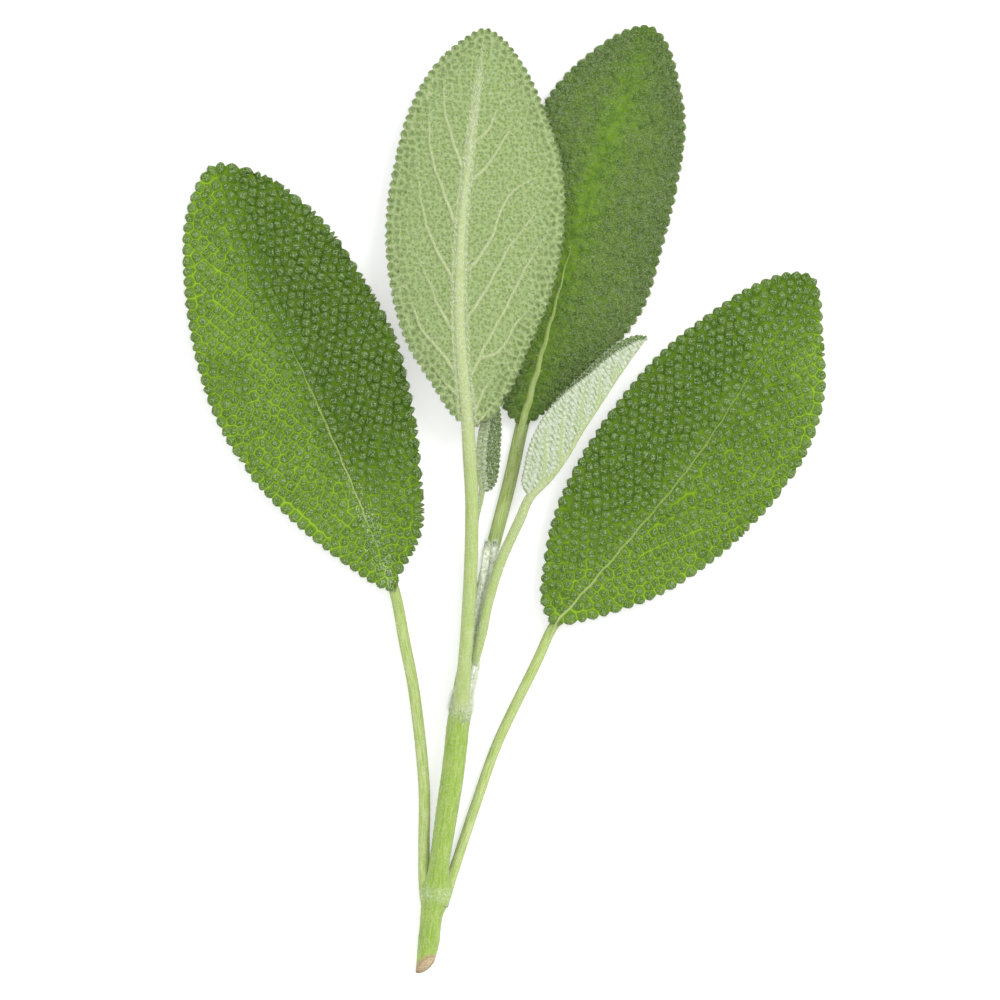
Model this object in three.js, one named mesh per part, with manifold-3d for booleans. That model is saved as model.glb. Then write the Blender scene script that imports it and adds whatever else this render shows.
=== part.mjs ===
// A cut sprig of common sage (Salvia officinalis) lying on a table.
//
// Millimetres, +Z up. X runs across the sprig, Y runs from the cut end towards the leaf tips,
// and Z is zero on the table. The sprig has one stem with three leaf nodes:
//   first node   leaf_left and leaf_right, the big outer pair
//   second node  leaf_front, lying on its face, and leaf_back under it
//   third node   leaf_folded and leaf_small, a young pair still folded along the midrib
// and it ends in shoot_tip, a closed pair of tiny leaves.
// Each leaf is one solid: its stalk runs on as the midrib and fades out in the blade.

import * as THREE from 'three';
import Module from 'manifold-3d';

const wasm = await Module();
wasm.setup();

// Driving dimensions, shared by all the leaves.
const BLADE_THICKNESS = 0.7;
const BUMP_PITCH = 2.8; // spacing of the blisters between the net veins, larger than life
const BUMP_STRETCH = 1.2; // how much longer than wide one blister is
const BUMP_RISE = 0.4; // crown of a blister above the blade's middle surface
const NET_DEPTH = 0.2; // net vein below that surface
const VEIN_DEPTH = 0.35; // midrib and side veins below it
const SIDE_VEIN_EVERY = 6; // one side vein for so many rows of the bump lattice
const TOOTH_PITCH = 2.3; // round teeth along the margin
const TOOTH_DEPTH = 0.35;
const FOLD_ROUNDING = 2.5; // how softly a blade bends over its midrib
const WAVE_LENGTH = 19; // slow wave of the margins
const WAVE_HEIGHT = 0.3;
const MIDRIB_END = 0.9; // share of the blade's length where the midrib has faded out
const MIDRIB_TIP_RADIUS = 0.25;
const TUBE_SIDES = 8;
const SHORTEST_EDGE = 0.01; // finer slivers are tidied away where solids join

// Folded leaves: two halves hinged on the keel.
const FOLD_HALF_THICKNESS = 0.33;
const FOLD_RELIEF = 0.12;
const KEEL_NOSE = 0.45;

// Shift that puts the middle of the sprig's footprint at X = Y = 0.
const FOOTPRINT_SHIFT = [0.11, 0.045, 0];

const GREEN = { color: 0x55832b, roughness: 0.85, metalness: 0 };
const PALE_GREEN = { color: 0x9fb873, roughness: 0.9, metalness: 0 };
const STALK_GREEN = { color: 0xa3bd5e, roughness: 0.8, metalness: 0 };
const WOOLLY_GREEN = { color: 0xc3cfb0, roughness: 0.95, metalness: 0 };

// Half-widths are measured square to the line from base to tip, at nine stations that crowd
// towards both ends (see stationShare). Left and right are as seen from above with the tip ahead.
// Heights and midrib bows are given at even steps from base to tip.
const OPEN_LEAVES = [
  {
    name: 'leaf_left',
    finish: GREEN,
    base: [-14.3, -12.1],
    tip: [-38.0, 43.6],
    left: [1.8, 4.6, 8.2, 11.4, 12.7, 11.7, 9.4, 6.5, 2.9],
    right: [1.9, 6.4, 9.1, 11.6, 13.2, 12.3, 10.5, 7.1, 3.1],
    midribBow: [0, -0.35, -0.2, 0.4, 0],
    heights: [1.9, 2.2, 2.1, 1.5, 0.48],
    marginSlope: { left: 0.12, right: 0.15 },
    faceUp: true,
    stalk: [
      [-10.6, -49.3, 1.15],
      [-10.75, -47.0, 1.05],
      [-10.7, -44.5, 1.0],
      [-10.7, -36.5, 1.1],
      [-11.8, -25.4, 1.2],
      [-13.1, -18.3, 1.4],
    ],
    stalkRadius: 0.7,
  },
  {
    name: 'leaf_right',
    finish: GREEN,
    base: [6.3, -16.5],
    tip: [40.1, 29.0],
    left: [3.1, 5.8, 8.7, 10.4, 10.8, 10.1, 8.0, 5.6, 2.8],
    right: [1.6, 4.9, 8.9, 11.8, 13.3, 13.2, 10.5, 5.6, 2.2],
    midribBow: [0, -1.15, -1.85, -1.0, 0],
    heights: [1.9, 2.3, 2.2, 1.5, 0.48],
    marginSlope: { left: 0.16, right: 0.11 },
    faceUp: true,
    stalk: [
      [-6.7, -49.3, 1.15],
      [-6.2, -47.0, 1.1],
      [-5.35, -44.3, 1.1],
      [-3.6, -39.1, 1.1],
      [-0.8, -31.3, 1.2],
      [4.0, -21.4, 1.5],
    ],
    stalkRadius: 0.66,
  },
  {
    name: 'leaf_front',
    finish: PALE_GREEN,
    base: [-4.8, 9.4],
    tip: [-2.6, 61.1],
    left: [2.1, 4.8, 8.6, 10.9, 11.8, 11.0, 9.3, 6.3, 2.5],
    right: [3.2, 5.4, 7.5, 9.8, 10.9, 10.6, 8.3, 5.5, 2.5],
    midribBow: [0, 1.6, 1.9, 1.05, 0],
    heights: [5.3, 5.8, 5.7, 5.0, 3.5],
    marginSlope: { left: -0.13, right: -0.1 },
    faceUp: false,
    stalk: [
      [-5.5, -24.8, 5.35],
      [-5.2, -20.9, 5.5],
      [-4.8, -15.7, 5.5],
      [-4.4, -7.9, 5.5],
      [-4.3, -0.1, 5.5],
      [-4.6, 5.6, 5.5],
    ],
    stalkRadius: 0.88,
  },
  {
    name: 'leaf_back',
    finish: GREEN,
    base: [1.8, 9.5],
    tip: [18.9, 61.6],
    left: [2.4, 4.0, 7.2, 10.2, 11.2, 10.8, 9.3, 6.1, 2.7],
    right: [1.9, 3.5, 6.9, 10.3, 10.5, 9.7, 7.9, 4.7, 2.2],
    midribBow: [0, 0.35, 0.9, 0.5, 0],
    heights: [1.5, 1.9, 1.8, 1.3, 0.48],
    marginSlope: { left: 0.02, right: 0.12 },
    faceUp: true,
    stalk: [
      [-5.8, -24.8, 1.15],
      [-4.3, -18.3, 0.95],
      [-2.0, -7.9, 0.95],
      [0.3, 1.8, 1.1],
    ],
    stalkRadius: 0.8,
  },
];

// Folded leaves: the near half lies over the far half, and both open from the keel towards
// openSide. Widths are seen from above; slopes are the rise of each half away from the keel.
const FOLDED_LEAVES = [
  {
    name: 'leaf_folded',
    finish: WOOLLY_GREEN,
    base: [3.25, 0.25],
    tip: [18.5, 21.1],
    openSide: 1,
    keelBow: [0, -0.75, -0.6, -0.45, -0.2, 0],
    heights: [4.7, 4.9, 4.9, 4.5, 3.9],
    near: [2.5, 3.8, 5.1, 5.2, 4.7, 3.6, 2.9, 1.9, 0.8],
    far: [2.6, 3.9, 5.2, 5.5, 5.4, 4.5, 3.8, 2.8, 1.3],
    nearSlope: 0.42,
    farSlope: -0.06,
    stations: 16,
    stalk: [
      [-3.3, -20.0, 4.8],
      [-3.0, -17.6, 4.8],
      [-2.1, -13.1, 4.8],
      [-0.45, -7.9, 4.8],
      [1.9, -2.7, 4.7],
    ],
    stalkRadius: 0.66,
  },
  {
    name: 'leaf_small',
    finish: GREEN,
    base: [-3.0, 0.9],
    tip: [-1.7, 13.1],
    openSide: -1,
    keelBow: [0, 0.85, 1.1, 0.85, 0],
    heights: [2.9, 3.1, 3.1, 3.1, 3.0],
    near: [0.5, 0.9, 1.3, 1.45, 1.4, 1.2, 0.9, 0.6, 0.4],
    far: [1.2, 2.1, 2.7, 3.0, 3.0, 2.8, 2.3, 1.6, 0.8],
    nearSlope: 0.75,
    farSlope: 0.0,
    stations: 8,
    stalk: [
      [-5.0, -19.2, 2.6],
      [-4.6, -15.7, 2.5],
      [-3.6, -7.9, 2.5],
      [-3.2, -2.7, 2.7],
    ],
    stalkRadius: 0.42,
  },
];

// Stem from the cut end to the third node, as beads: middle, half-width and half-height. It
// swells sideways at the first node and up and down at the second, under the stalks of each pair.
const STEM = [
  { at: [-10.4, -60.9, 1.1], wide: 1.3, tall: 1.2 },
  { at: [-9.9, -57.5, 1.15], wide: 1.35, tall: 1.25 },
  { at: [-9.5, -53.6, 1.5], wide: 1.35, tall: 1.3 },
  { at: [-9.1, -51.6, 1.7], wide: 1.9, tall: 1.35 },
  { at: [-8.9, -50.6, 1.85], wide: 2.15, tall: 1.4 },
  { at: [-8.6, -49.6, 2.1], wide: 1.15, tall: 1.3 },
  { at: [-8.4, -47.2, 2.35], wide: 1.15, tall: 1.2 },
  { at: [-8.1, -44.4, 2.6], wide: 1.3, tall: 1.25 },
  { at: [-6.9, -36.5, 3.0], wide: 1.4, tall: 1.3 },
  { at: [-6.1, -29.5, 3.25], wide: 1.4, tall: 1.6 },
  { at: [-5.8, -27.2, 3.3], wide: 1.4, tall: 2.4 },
  { at: [-5.6, -26.2, 3.3], wide: 1.3, tall: 2.9 },
  { at: [-5.4, -25.2, 3.4], wide: 0.8, tall: 0.8 },
  { at: [-4.8, -22.4, 3.5], wide: 0.72, tall: 0.72 },
  { at: [-4.4, -20.6, 3.5], wide: 0.75, tall: 0.75 },
];
const STEM_SIDES = 10;
const STEM_STEPS = 36;
const CUT_LEAN = 0.8; // how far the slanting cut runs along the stem, per unit across it

// The two clasped leaves at the very tip, from their common foot.
const SHOOT_TIP = [
  [
    { at: [-4.3, -19.2, 3.5], wide: 0.3, tall: 0.3 },
    { at: [-3.4, -13.5, 3.4], wide: 0.34, tall: 0.34 },
    { at: [-2.5, -8.6, 3.2], wide: 0.55, tall: 0.55 },
    { at: [-2.4, -5.4, 3.1], wide: 0.3, tall: 0.3 },
  ],
  [
    { at: [-4.3, -19.2, 3.5], wide: 0.3, tall: 0.3 },
    { at: [-3.0, -13.5, 3.3], wide: 0.34, tall: 0.34 },
    { at: [-1.6, -8.6, 3.0], wide: 0.55, tall: 0.55 },
    { at: [-1.3, -5.3, 2.9], wide: 0.3, tall: 0.3 },
  ],
];

// ---------------------------------------------------------------- solids from points

function closedGeometry(points, triangles) {
  const geometry = new THREE.BufferGeometry();
  const numbers = points.flatMap((point) => point.toArray());
  geometry.setAttribute('position', new THREE.Float32BufferAttribute(numbers, 3));
  const inward = signedVolume(points, triangles) < 0;
  const faces = inward ? triangles.map(([a, b, c]) => [a, c, b]) : triangles;
  geometry.setIndex(faces.flat());
  return geometry;
}

function signedVolume(points, triangles) {
  const cross = new THREE.Vector3();
  let total = 0;
  for (const [a, b, c] of triangles) {
    total += points[a].dot(cross.crossVectors(points[b], points[c]));
  }
  return total / 6;
}

// Skin over a row of rings with equally many points, closed by a fan at each end.
function loft(rings, firstEnd, lastEnd) {
  const size = rings[0].length;
  const points = [...rings.flat(), firstEnd, lastEnd];
  const first = points.length - 2;
  const last = points.length - 1;
  const top = (rings.length - 1) * size;
  const triangles = [];
  for (let j = 0; j < size; j += 1) {
    const k = (j + 1) % size;
    for (let row = 0; row < top; row += size) {
      triangles.push([row + j, row + k, row + size + k]);
      triangles.push([row + j, row + size + k, row + size + j]);
    }
    triangles.push([first, k, j]);
    triangles.push([last, top + j, top + k]);
  }
  return closedGeometry(points, triangles);
}

// Oval rod along a smooth line through beads, each with its middle, half-width and half-height.
function rodRings(beads, sides, steps) {
  const line = new THREE.CatmullRomCurve3(beads.map((bead) => new THREE.Vector3(...bead.at)));
  const sideways = new THREE.Vector3();
  const upwards = new THREE.Vector3();
  const rings = [];
  for (let i = 0; i <= steps; i += 1) {
    const share = line.getUtoTmapping(i / steps) * (beads.length - 1);
    const bead = Math.min(Math.floor(share), beads.length - 2);
    const ahead = line.getTangentAt(i / steps);
    sideways.set(ahead.y, -ahead.x, 0).normalize();
    upwards.crossVectors(sideways, ahead);
    const wide = THREE.MathUtils.lerp(beads[bead].wide, beads[bead + 1].wide, share - bead);
    const tall = THREE.MathUtils.lerp(beads[bead].tall, beads[bead + 1].tall, share - bead);
    rings.push(oval(line.getPointAt(i / steps), sideways, upwards, wide, tall, sides));
  }
  return { rings, line };
}

function oval(middle, sideways, upwards, wide, tall, sides) {
  return Array.from({ length: sides }, (_, k) => {
    const angle = (2 * Math.PI * k) / sides;
    return middle
      .clone()
      .addScaledVector(sideways, wide * Math.cos(angle))
      .addScaledVector(upwards, tall * Math.sin(angle));
  });
}

function rodSolid(beads, sides, steps) {
  const { rings, line } = rodRings(beads, sides, steps);
  return loft(rings, line.getPointAt(0), line.getPointAt(1));
}

function stalkBeads(leaf) {
  return leaf.stalk.map((at) => ({ at, wide: leaf.stalkRadius, tall: leaf.stalkRadius }));
}

// ---------------------------------------------------------------- joining

function toManifold(geometry) {
  const vertProperties = new Float32Array(geometry.attributes.position.array);
  const triVerts = new Uint32Array(geometry.index.array);
  return new wasm.Manifold(new wasm.Mesh({ numProp: 3, vertProperties, triVerts }));
}

function fuse(geometries) {
  const [first, ...others] = geometries.map(toManifold);
  const whole = others.reduce((sum, next) => sum.add(next), first);
  const mesh = whole.simplify(SHORTEST_EDGE).getMesh();
  const joined = new THREE.BufferGeometry();
  joined.setAttribute('position', new THREE.Float32BufferAttribute(mesh.vertProperties, 3));
  joined.setIndex(Array.from(mesh.triVerts));
  return joined;
}

// What would reach into the table is pressed flat against it.
function piece(name, finish, geometry) {
  const places = geometry.attributes.position;
  for (let i = 0; i < places.count; i += 1) places.setZ(i, Math.max(places.getZ(i), 0));
  geometry.computeVertexNormals();
  const mesh = new THREE.Mesh(geometry, new THREE.MeshStandardMaterial(finish));
  mesh.name = name;
  return mesh;
}

// ---------------------------------------------------------------- values along a leaf

// Smooth line through values at even steps; share runs from 0 to 1.
function along(values, share) {
  const place = THREE.MathUtils.clamp(share, 0, 1) * (values.length - 1);
  const i = Math.min(Math.floor(place), values.length - 2);
  const f = place - i;
  const p1 = values[i];
  const p2 = values[i + 1];
  const p0 = i > 0 ? values[i - 1] : 2 * p1 - p2;
  const p3 = i + 2 < values.length ? values[i + 2] : 2 * p2 - p1;
  const curve = (2 * p0 - 5 * p1 + 4 * p2 - p3) * f + (3 * p1 - p0 - 3 * p2 + p3) * f * f;
  return p1 + 0.5 * f * (p2 - p0 + curve);
}

// Station 0 is the base and 1 the tip; stations crowd where the outline turns.
function stationShare(station) {
  return (1 - Math.cos(Math.PI * station)) / 2;
}

function shareStation(share) {
  return Math.acos(1 - 2 * THREE.MathUtils.clamp(share, 0, 1)) / Math.PI;
}

// The line from base to tip, with the direction to its left.
function chord(leaf) {
  const base = new THREE.Vector2(...leaf.base);
  const ahead = new THREE.Vector2(...leaf.tip).sub(base);
  const length = ahead.length();
  ahead.normalize();
  return { base, ahead, left: new THREE.Vector2(-ahead.y, ahead.x), length };
}

function onChord({ base, ahead, left }, a, c, z) {
  const flat = base.clone().addScaledVector(ahead, a).addScaledVector(left, c);
  return new THREE.Vector3(flat.x, flat.y, z);
}

// ---------------------------------------------------------------- open leaves

// Toothed outline, as points (a along the chord, c to its left).
function toothedOutline(leaf, length) {
  const stations = leaf.left.length + 1;
  const left = [];
  const right = [];
  for (let k = 1; k < stations; k += 1) {
    const a = length * stationShare(k / stations);
    left.push(new THREE.Vector3(a, leaf.left[k - 1], 0));
    right.unshift(new THREE.Vector3(a, -leaf.right[k - 1], 0));
  }
  const corners = [new THREE.Vector3(0, 0, 0), ...left, new THREE.Vector3(length, 0, 0), ...right];
  const curve = new THREE.CatmullRomCurve3(corners, true, 'centripetal');
  const teeth = Math.round(curve.getLength() / TOOTH_PITCH);
  const pointsPerTooth = 3;
  const count = teeth * pointsPerTooth;
  const outline = [];
  for (let i = 0; i < count; i += 1) {
    const at = curve.getPointAt(i / count);
    const run = curve.getTangentAt(i / count);
    const notch = i % pointsPerTooth === 0 ? TOOTH_DEPTH : 0;
    outline.push({ a: at.x + notch * run.y, c: at.y - notch * run.x });
  }
  return outline;
}

function insideOutline(outline, a, c) {
  let inside = false;
  outline.forEach((p, i) => {
    const q = outline[(i + 1) % outline.length];
    const crosses = p.c > c !== q.c > c;
    if (crosses && a < p.a + ((c - p.c) / (q.c - p.c)) * (q.a - p.a)) inside = !inside;
  });
  return inside;
}

// Triangular lattice: every third point is the crown of a blister, the others are net veins.
// The row on the chord and one slanting row in SIDE_VEIN_EVERY stay low, as midrib and side veins.
function blisterLattice(outline, length) {
  const step = BUMP_PITCH / Math.sqrt(3);
  const rowStep = (step * Math.sqrt(3)) / 2;
  const clear = 0.6 * step;
  const reach = Math.ceil(length / step);
  const points = [];
  for (let row = -reach; row <= reach; row += 1) {
    for (let column = -reach; column <= 2 * reach; column += 1) {
      const a = (column + row / 2) * step * BUMP_STRETCH;
      const c = row * rowStep;
      const nearMargin = outline.some((edge) => Math.hypot(edge.a - a, edge.c - c) < clear);
      if (nearMargin || !insideOutline(outline, a, c)) continue;
      const veinRow = row >= 0 ? column : column + row;
      const isVein = row === 0 || veinRow % SIDE_VEIN_EVERY === 0;
      const isCrown = !isVein && (column - row) % 3 === 0;
      const netRelief = isCrown ? BUMP_RISE : -NET_DEPTH;
      points.push({ a, c, relief: isVein ? -VEIN_DEPTH : netRelief });
    }
  }
  return points;
}

// Delaunay triangles by adding one point at a time (Bowyer and Watson).
function delaunay(points, size) {
  const far = 20 * size;
  const all = [...points, { a: -far, c: -far }, { a: far, c: -far }, { a: 0, c: far }];
  const n = points.length;
  let triangles = [circled(all, n, n + 1, n + 2)];
  for (let i = 0; i < n; i += 1) {
    const rim = new Map();
    triangles = triangles.filter((triangle) => {
      const gap = (all[i].a - triangle.a) ** 2 + (all[i].c - triangle.c) ** 2;
      if (gap >= triangle.square) return true;
      triangle.corners.forEach((from, k) => {
        const to = triangle.corners[(k + 1) % 3];
        if (!rim.delete(`${to},${from}`)) rim.set(`${from},${to}`, [from, to]);
      });
      return false;
    });
    for (const [from, to] of rim.values()) triangles.push(circled(all, from, to, i));
  }
  return triangles.map((triangle) => triangle.corners).filter((corners) => Math.max(...corners) < n);
}

// A triangle with the middle and squared radius of the circle through its corners.
function circled(points, i, j, k) {
  const origin = points[i];
  const ux = points[j].a - origin.a;
  const uy = points[j].c - origin.c;
  const vx = points[k].a - origin.a;
  const vy = points[k].c - origin.c;
  const twiceArea = 2 * (ux * vy - uy * vx);
  const u = ux * ux + uy * uy;
  const v = vx * vx + vy * vy;
  const x = (vy * u - uy * v) / twiceArea;
  const y = (ux * v - vx * u) / twiceArea;
  return { corners: [i, j, k], a: origin.a + x, c: origin.c + y, square: x * x + y * y };
}

// Height of the blade's middle surface at (a, c).
function bladeHeight(leaf, length, a, c) {
  const share = a / length;
  const across = c - along(leaf.midribBow, share);
  const slope = across > 0 ? leaf.marginSlope.left : leaf.marginSlope.right;
  const fold = Math.hypot(across, FOLD_ROUNDING) - FOLD_ROUNDING;
  const side = Math.sign(across);
  const wave = WAVE_HEIGHT * Math.sin((2 * Math.PI * (a + 4 * side)) / WAVE_LENGTH);
  const outward = Math.min(Math.abs(across) / 12, 1);
  return along(leaf.heights, share) + slope * fold + wave * outward * outward;
}

function openBlade(leaf) {
  const line = chord(leaf);
  const outline = toothedOutline(leaf, line.length);
  const rim = outline.map(({ a, c }) => ({ a, c, relief: 0 }));
  const points = [...rim, ...blisterLattice(outline, line.length)];
  const faces = delaunay(points, line.length).filter((corners) => {
    const a = corners.reduce((sum, i) => sum + points[i].a / 3, 0);
    const c = corners.reduce((sum, i) => sum + points[i].c / 3, 0);
    return insideOutline(outline, a, c);
  });
  const crownSide = leaf.faceUp ? 1 : -1;
  const upper = [];
  const lower = [];
  for (const { a, c, relief } of points) {
    const z = bladeHeight(leaf, line.length, a, c) + crownSide * relief;
    upper.push(onChord(line, a, c, z + BLADE_THICKNESS / 2));
    lower.push(onChord(line, a, c, z - BLADE_THICKNESS / 2));
  }
  return slab(upper, lower, faces);
}

// Two sheets with the same triangles, joined by a wall round their edge.
function slab(upper, lower, faces) {
  const n = upper.length;
  const edges = new Map();
  for (const corners of faces) {
    corners.forEach((from, k) => {
      const to = corners[(k + 1) % 3];
      if (!edges.delete(`${to},${from}`)) edges.set(`${from},${to}`, [from, to]);
    });
  }
  const triangles = [];
  for (const [i, j, k] of faces) triangles.push([i, j, k], [n + i, n + k, n + j]);
  for (const [i, j] of edges.values()) triangles.push([j, i, n + i], [j, n + i, n + j]);
  return closedGeometry([...upper, ...lower], triangles);
}

// Stalk and midrib in one rod; the midrib stands out on the leaf's underside.
function openLeafRib(leaf) {
  const line = chord(leaf);
  const underside = leaf.faceUp ? -1 : 1;
  const beads = stalkBeads(leaf);
  const ribSteps = 6;
  for (let k = 0; k <= ribSteps; k += 1) {
    const share = (MIDRIB_END * k) / ribSteps;
    const a = share * line.length;
    const c = along(leaf.midribBow, share);
    const radius = THREE.MathUtils.lerp(0.85 * leaf.stalkRadius, MIDRIB_TIP_RADIUS, k / ribSteps);
    const z = bladeHeight(leaf, line.length, a, c) + underside * (VEIN_DEPTH + BLADE_THICKNESS / 4);
    beads.push({ at: onChord(line, a, c, z).toArray(), wide: radius, tall: radius });
  }
  return rodSolid(beads, TUBE_SIDES, beads.length + 4);
}

// ---------------------------------------------------------------- folded leaves

// One cross-section, as a ring that runs along the far half's outside, round the keel, along
// the near half's outside, and back along both insides.
function foldedRing(leaf, line, station, row) {
  const share = stationShare(station);
  const a = share * line.length;
  const keel = along(leaf.keelBow, share);
  const z = along(leaf.heights, share);
  const tooth = row % 2 === 0 ? 0 : TOOTH_DEPTH;
  const near = Math.max(along([0, ...leaf.near, 0], station) - tooth, 0.3);
  const far = Math.max(along([0, ...leaf.far, 0], station) - tooth, 0.3);
  const opening = leaf.nearSlope - leaf.farSlope;
  const half = Math.min(FOLD_HALF_THICKNESS, 0.3 * opening * Math.min(near, far));
  const corner = (2 * half) / opening;
  const at = (x, height) => onChord(line, a, keel + leaf.openSide * x, z + height);
  const steps = [1, 0.75, 0.5, 0.25];
  const bump = (k) => (k === 0 ? 0 : FOLD_RELIEF * ((k + row) % 2 === 0 ? 1 : -1));
  const outerFar = steps.map((q, k) => at(q * far, leaf.farSlope * q * far - half + bump(k)));
  const outerNear = steps.map((q, k) => at(q * near, leaf.nearSlope * q * near + half + bump(k)));
  const inner = (width, slope, side) => steps.map((q, k) => {
    const x = corner + q * (width - corner);
    return at(x, slope * x + side * half + bump(k) * q);
  });
  return [
    ...outerFar,
    at(0, -half - 0.1),
    at(-KEEL_NOSE, 0),
    at(0, half + 0.1),
    ...outerNear.reverse(),
    ...inner(near, leaf.nearSlope, -1),
    at(corner, leaf.nearSlope * corner - half),
    ...inner(far, leaf.farSlope, 1).reverse(),
  ];
}

function foldedBlade(leaf) {
  const line = chord(leaf);
  const rings = [];
  for (let row = 1; row < leaf.stations; row += 1) {
    rings.push(foldedRing(leaf, line, row / leaf.stations, row));
  }
  const end = (share) => onChord(line, share * line.length, 0, along(leaf.heights, share));
  return loft(rings, end(0), end(1));
}

function foldedLeafRib(leaf) {
  const line = chord(leaf);
  const beads = stalkBeads(leaf);
  const ribSteps = 5;
  for (let k = 0; k <= ribSteps; k += 1) {
    const share = k / ribSteps;
    const keel = along(leaf.keelBow, share);
    const at = onChord(line, share * line.length, keel, along(leaf.heights, share)).toArray();
    const radius = THREE.MathUtils.lerp(leaf.stalkRadius, MIDRIB_TIP_RADIUS, share);
    beads.push({ at, wide: radius, tall: radius });
  }
  return rodSolid(beads, TUBE_SIDES, beads.length + 4);
}

// ---------------------------------------------------------------- stem and shoot tip

// The cut runs slantwise across the lower end of the stem.
function stemSolid() {
  const { rings, line } = rodRings(STEM, STEM_SIDES, STEM_STEPS);
  const middle = line.getPointAt(0);
  rings[0].forEach((point) => {
    point.y += CUT_LEAN * (point.x - middle.x);
  });
  return loft(rings, middle, line.getPointAt(1));
}

function shootTipSolid() {
  return fuse(SHOOT_TIP.map((beads) => rodSolid(beads, TUBE_SIDES, 10)));
}

// ---------------------------------------------------------------- the sprig

const sprig = new THREE.Group();
sprig.add(piece('stem', STALK_GREEN, stemSolid()));
for (const leaf of OPEN_LEAVES) {
  sprig.add(piece(leaf.name, leaf.finish, fuse([openBlade(leaf), openLeafRib(leaf)])));
}
for (const leaf of FOLDED_LEAVES) {
  sprig.add(piece(leaf.name, leaf.finish, fuse([foldedBlade(leaf), foldedLeafRib(leaf)])));
}
sprig.add(piece('shoot_tip', WOOLLY_GREEN, shootTipSolid()));
sprig.position.set(...FOOTPRINT_SHIFT);

export default sprig;
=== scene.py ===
"""A cut sprig of common sage, lying on a pale table.

The leaf blades are made of blister cells: every cell is a little dome with a net vein round it,
laid out over the blade, along its veins and its toothed margin. Lengths are in millimetres
until a piece is finished; +Y runs from the cut end towards the leaf tips.
"""

import math

import bmesh
import bpy
import numpy as np
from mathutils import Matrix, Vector
from mathutils.geometry import delaunay_2d_cdt


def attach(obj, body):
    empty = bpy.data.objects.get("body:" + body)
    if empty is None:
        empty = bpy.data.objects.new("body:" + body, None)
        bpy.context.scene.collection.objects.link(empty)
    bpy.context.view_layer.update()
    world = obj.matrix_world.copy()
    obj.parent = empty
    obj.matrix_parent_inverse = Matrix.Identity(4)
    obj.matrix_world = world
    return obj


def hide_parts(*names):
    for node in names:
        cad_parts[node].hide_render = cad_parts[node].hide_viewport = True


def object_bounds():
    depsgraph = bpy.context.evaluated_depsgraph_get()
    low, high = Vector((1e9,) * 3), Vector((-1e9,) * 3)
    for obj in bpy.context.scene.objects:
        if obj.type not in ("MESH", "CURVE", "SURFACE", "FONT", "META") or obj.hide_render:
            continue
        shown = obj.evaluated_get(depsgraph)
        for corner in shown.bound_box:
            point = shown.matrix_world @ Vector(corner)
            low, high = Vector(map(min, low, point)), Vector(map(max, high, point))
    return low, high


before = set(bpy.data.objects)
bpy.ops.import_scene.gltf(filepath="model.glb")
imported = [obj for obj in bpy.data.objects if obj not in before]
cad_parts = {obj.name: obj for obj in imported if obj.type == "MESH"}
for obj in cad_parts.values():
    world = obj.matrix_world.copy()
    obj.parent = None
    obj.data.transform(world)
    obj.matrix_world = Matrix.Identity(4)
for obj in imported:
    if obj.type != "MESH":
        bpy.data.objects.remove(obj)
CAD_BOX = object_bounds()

MM = 0.001
TINY = 1e-9  # keeps a divisor from being zero
FOOTPRINT_SHIFT = np.array([0.11, 0.045, 0.0])  # puts the middle of the footprint at X = Y = 0
BOX_LOW, BOX_HIGH = (np.array(corner) for corner in CAD_BOX)
BOX_MARGIN = 0.00002

# Blades.
FOLD_ROUNDING = 2.5  # how softly an open blade bends over its midrib
WAVE_LENGTH = 19.0  # slow wave of the margins
WAVE_HEIGHT = 0.3
WAVE_SHIFT = 4.0  # the wave of one margin is moved ahead so far, that of the other back
WAVE_REACH = 12.0  # from the midrib to where the wave has its full height
BLADE_HALF = 0.15  # half the thickness between two blisters
BLISTER_RISE = 0.36
KEEL_ROUNDING = 0.25  # how softly a folded blade bends over its keel
FOLDED_HALF = 0.16  # half the thickness of a folded blade
FACE_VEIN_SINK = 0.08  # how deep the veins lie between the blisters of a face
BACK_VEIN_SINK = 0.1
BACK_NET_SINK = 0.12
BACK_CROWN = 0.75  # height of the blisters of an underside, for 1 on the face
FOLDED_RELIEF = 0.16  # height of the blisters and of the veins of a folded blade ...
FOLDED_SINK = 0.06  # ... and how far below its half thickness they start

# Veins. Shares are parts of the way from the base to the tip.
VEIN_STEP = 0.4  # from point to point of a vein
MIDRIB_END = 0.965  # share
SIDE_VEIN_SHARES = (0.05, 0.86)  # where the first side vein leaves the midrib, and the last
SIDE_VEIN_LEAN = (24, 32)  # degrees
SIDE_VEIN_BEND = (0.0021, 0.0049)
SIDE_VEIN_GAPS = (0.87, 1.13)  # the gap between two, where the mean one is 1
WOBBLE = 0.25
WOBBLE_RUN = 1.9  # along the vein, for each radian of its wobble
VEIN_ROOT = 0.6  # how far a side vein starts inside the midrib
VEIN_PULL = 0.6  # how far the rims of the cells beside a vein are drawn onto it
RIDGE_STEP = 3  # points of a vein for each bead of the ridge on it
RIDGE_TIP = 0.1  # half-width
WIGGLE_TURN = 2.1  # radians from bead to bead of the small bends of a ridge

# Beads and notches of the margin, in tooth pitches.
BEAD_DEPTH = 0.48  # from the margin to the middle of a bead on it
BEAD_SHIFT = 0.13  # how far a bead may stand from its even place
NOTCH_DEPTH = 0.27  # how far the notches between two beads reach in
NOTCH_MERGE = 0.33  # points of the margin that lie nearer together become one

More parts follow.
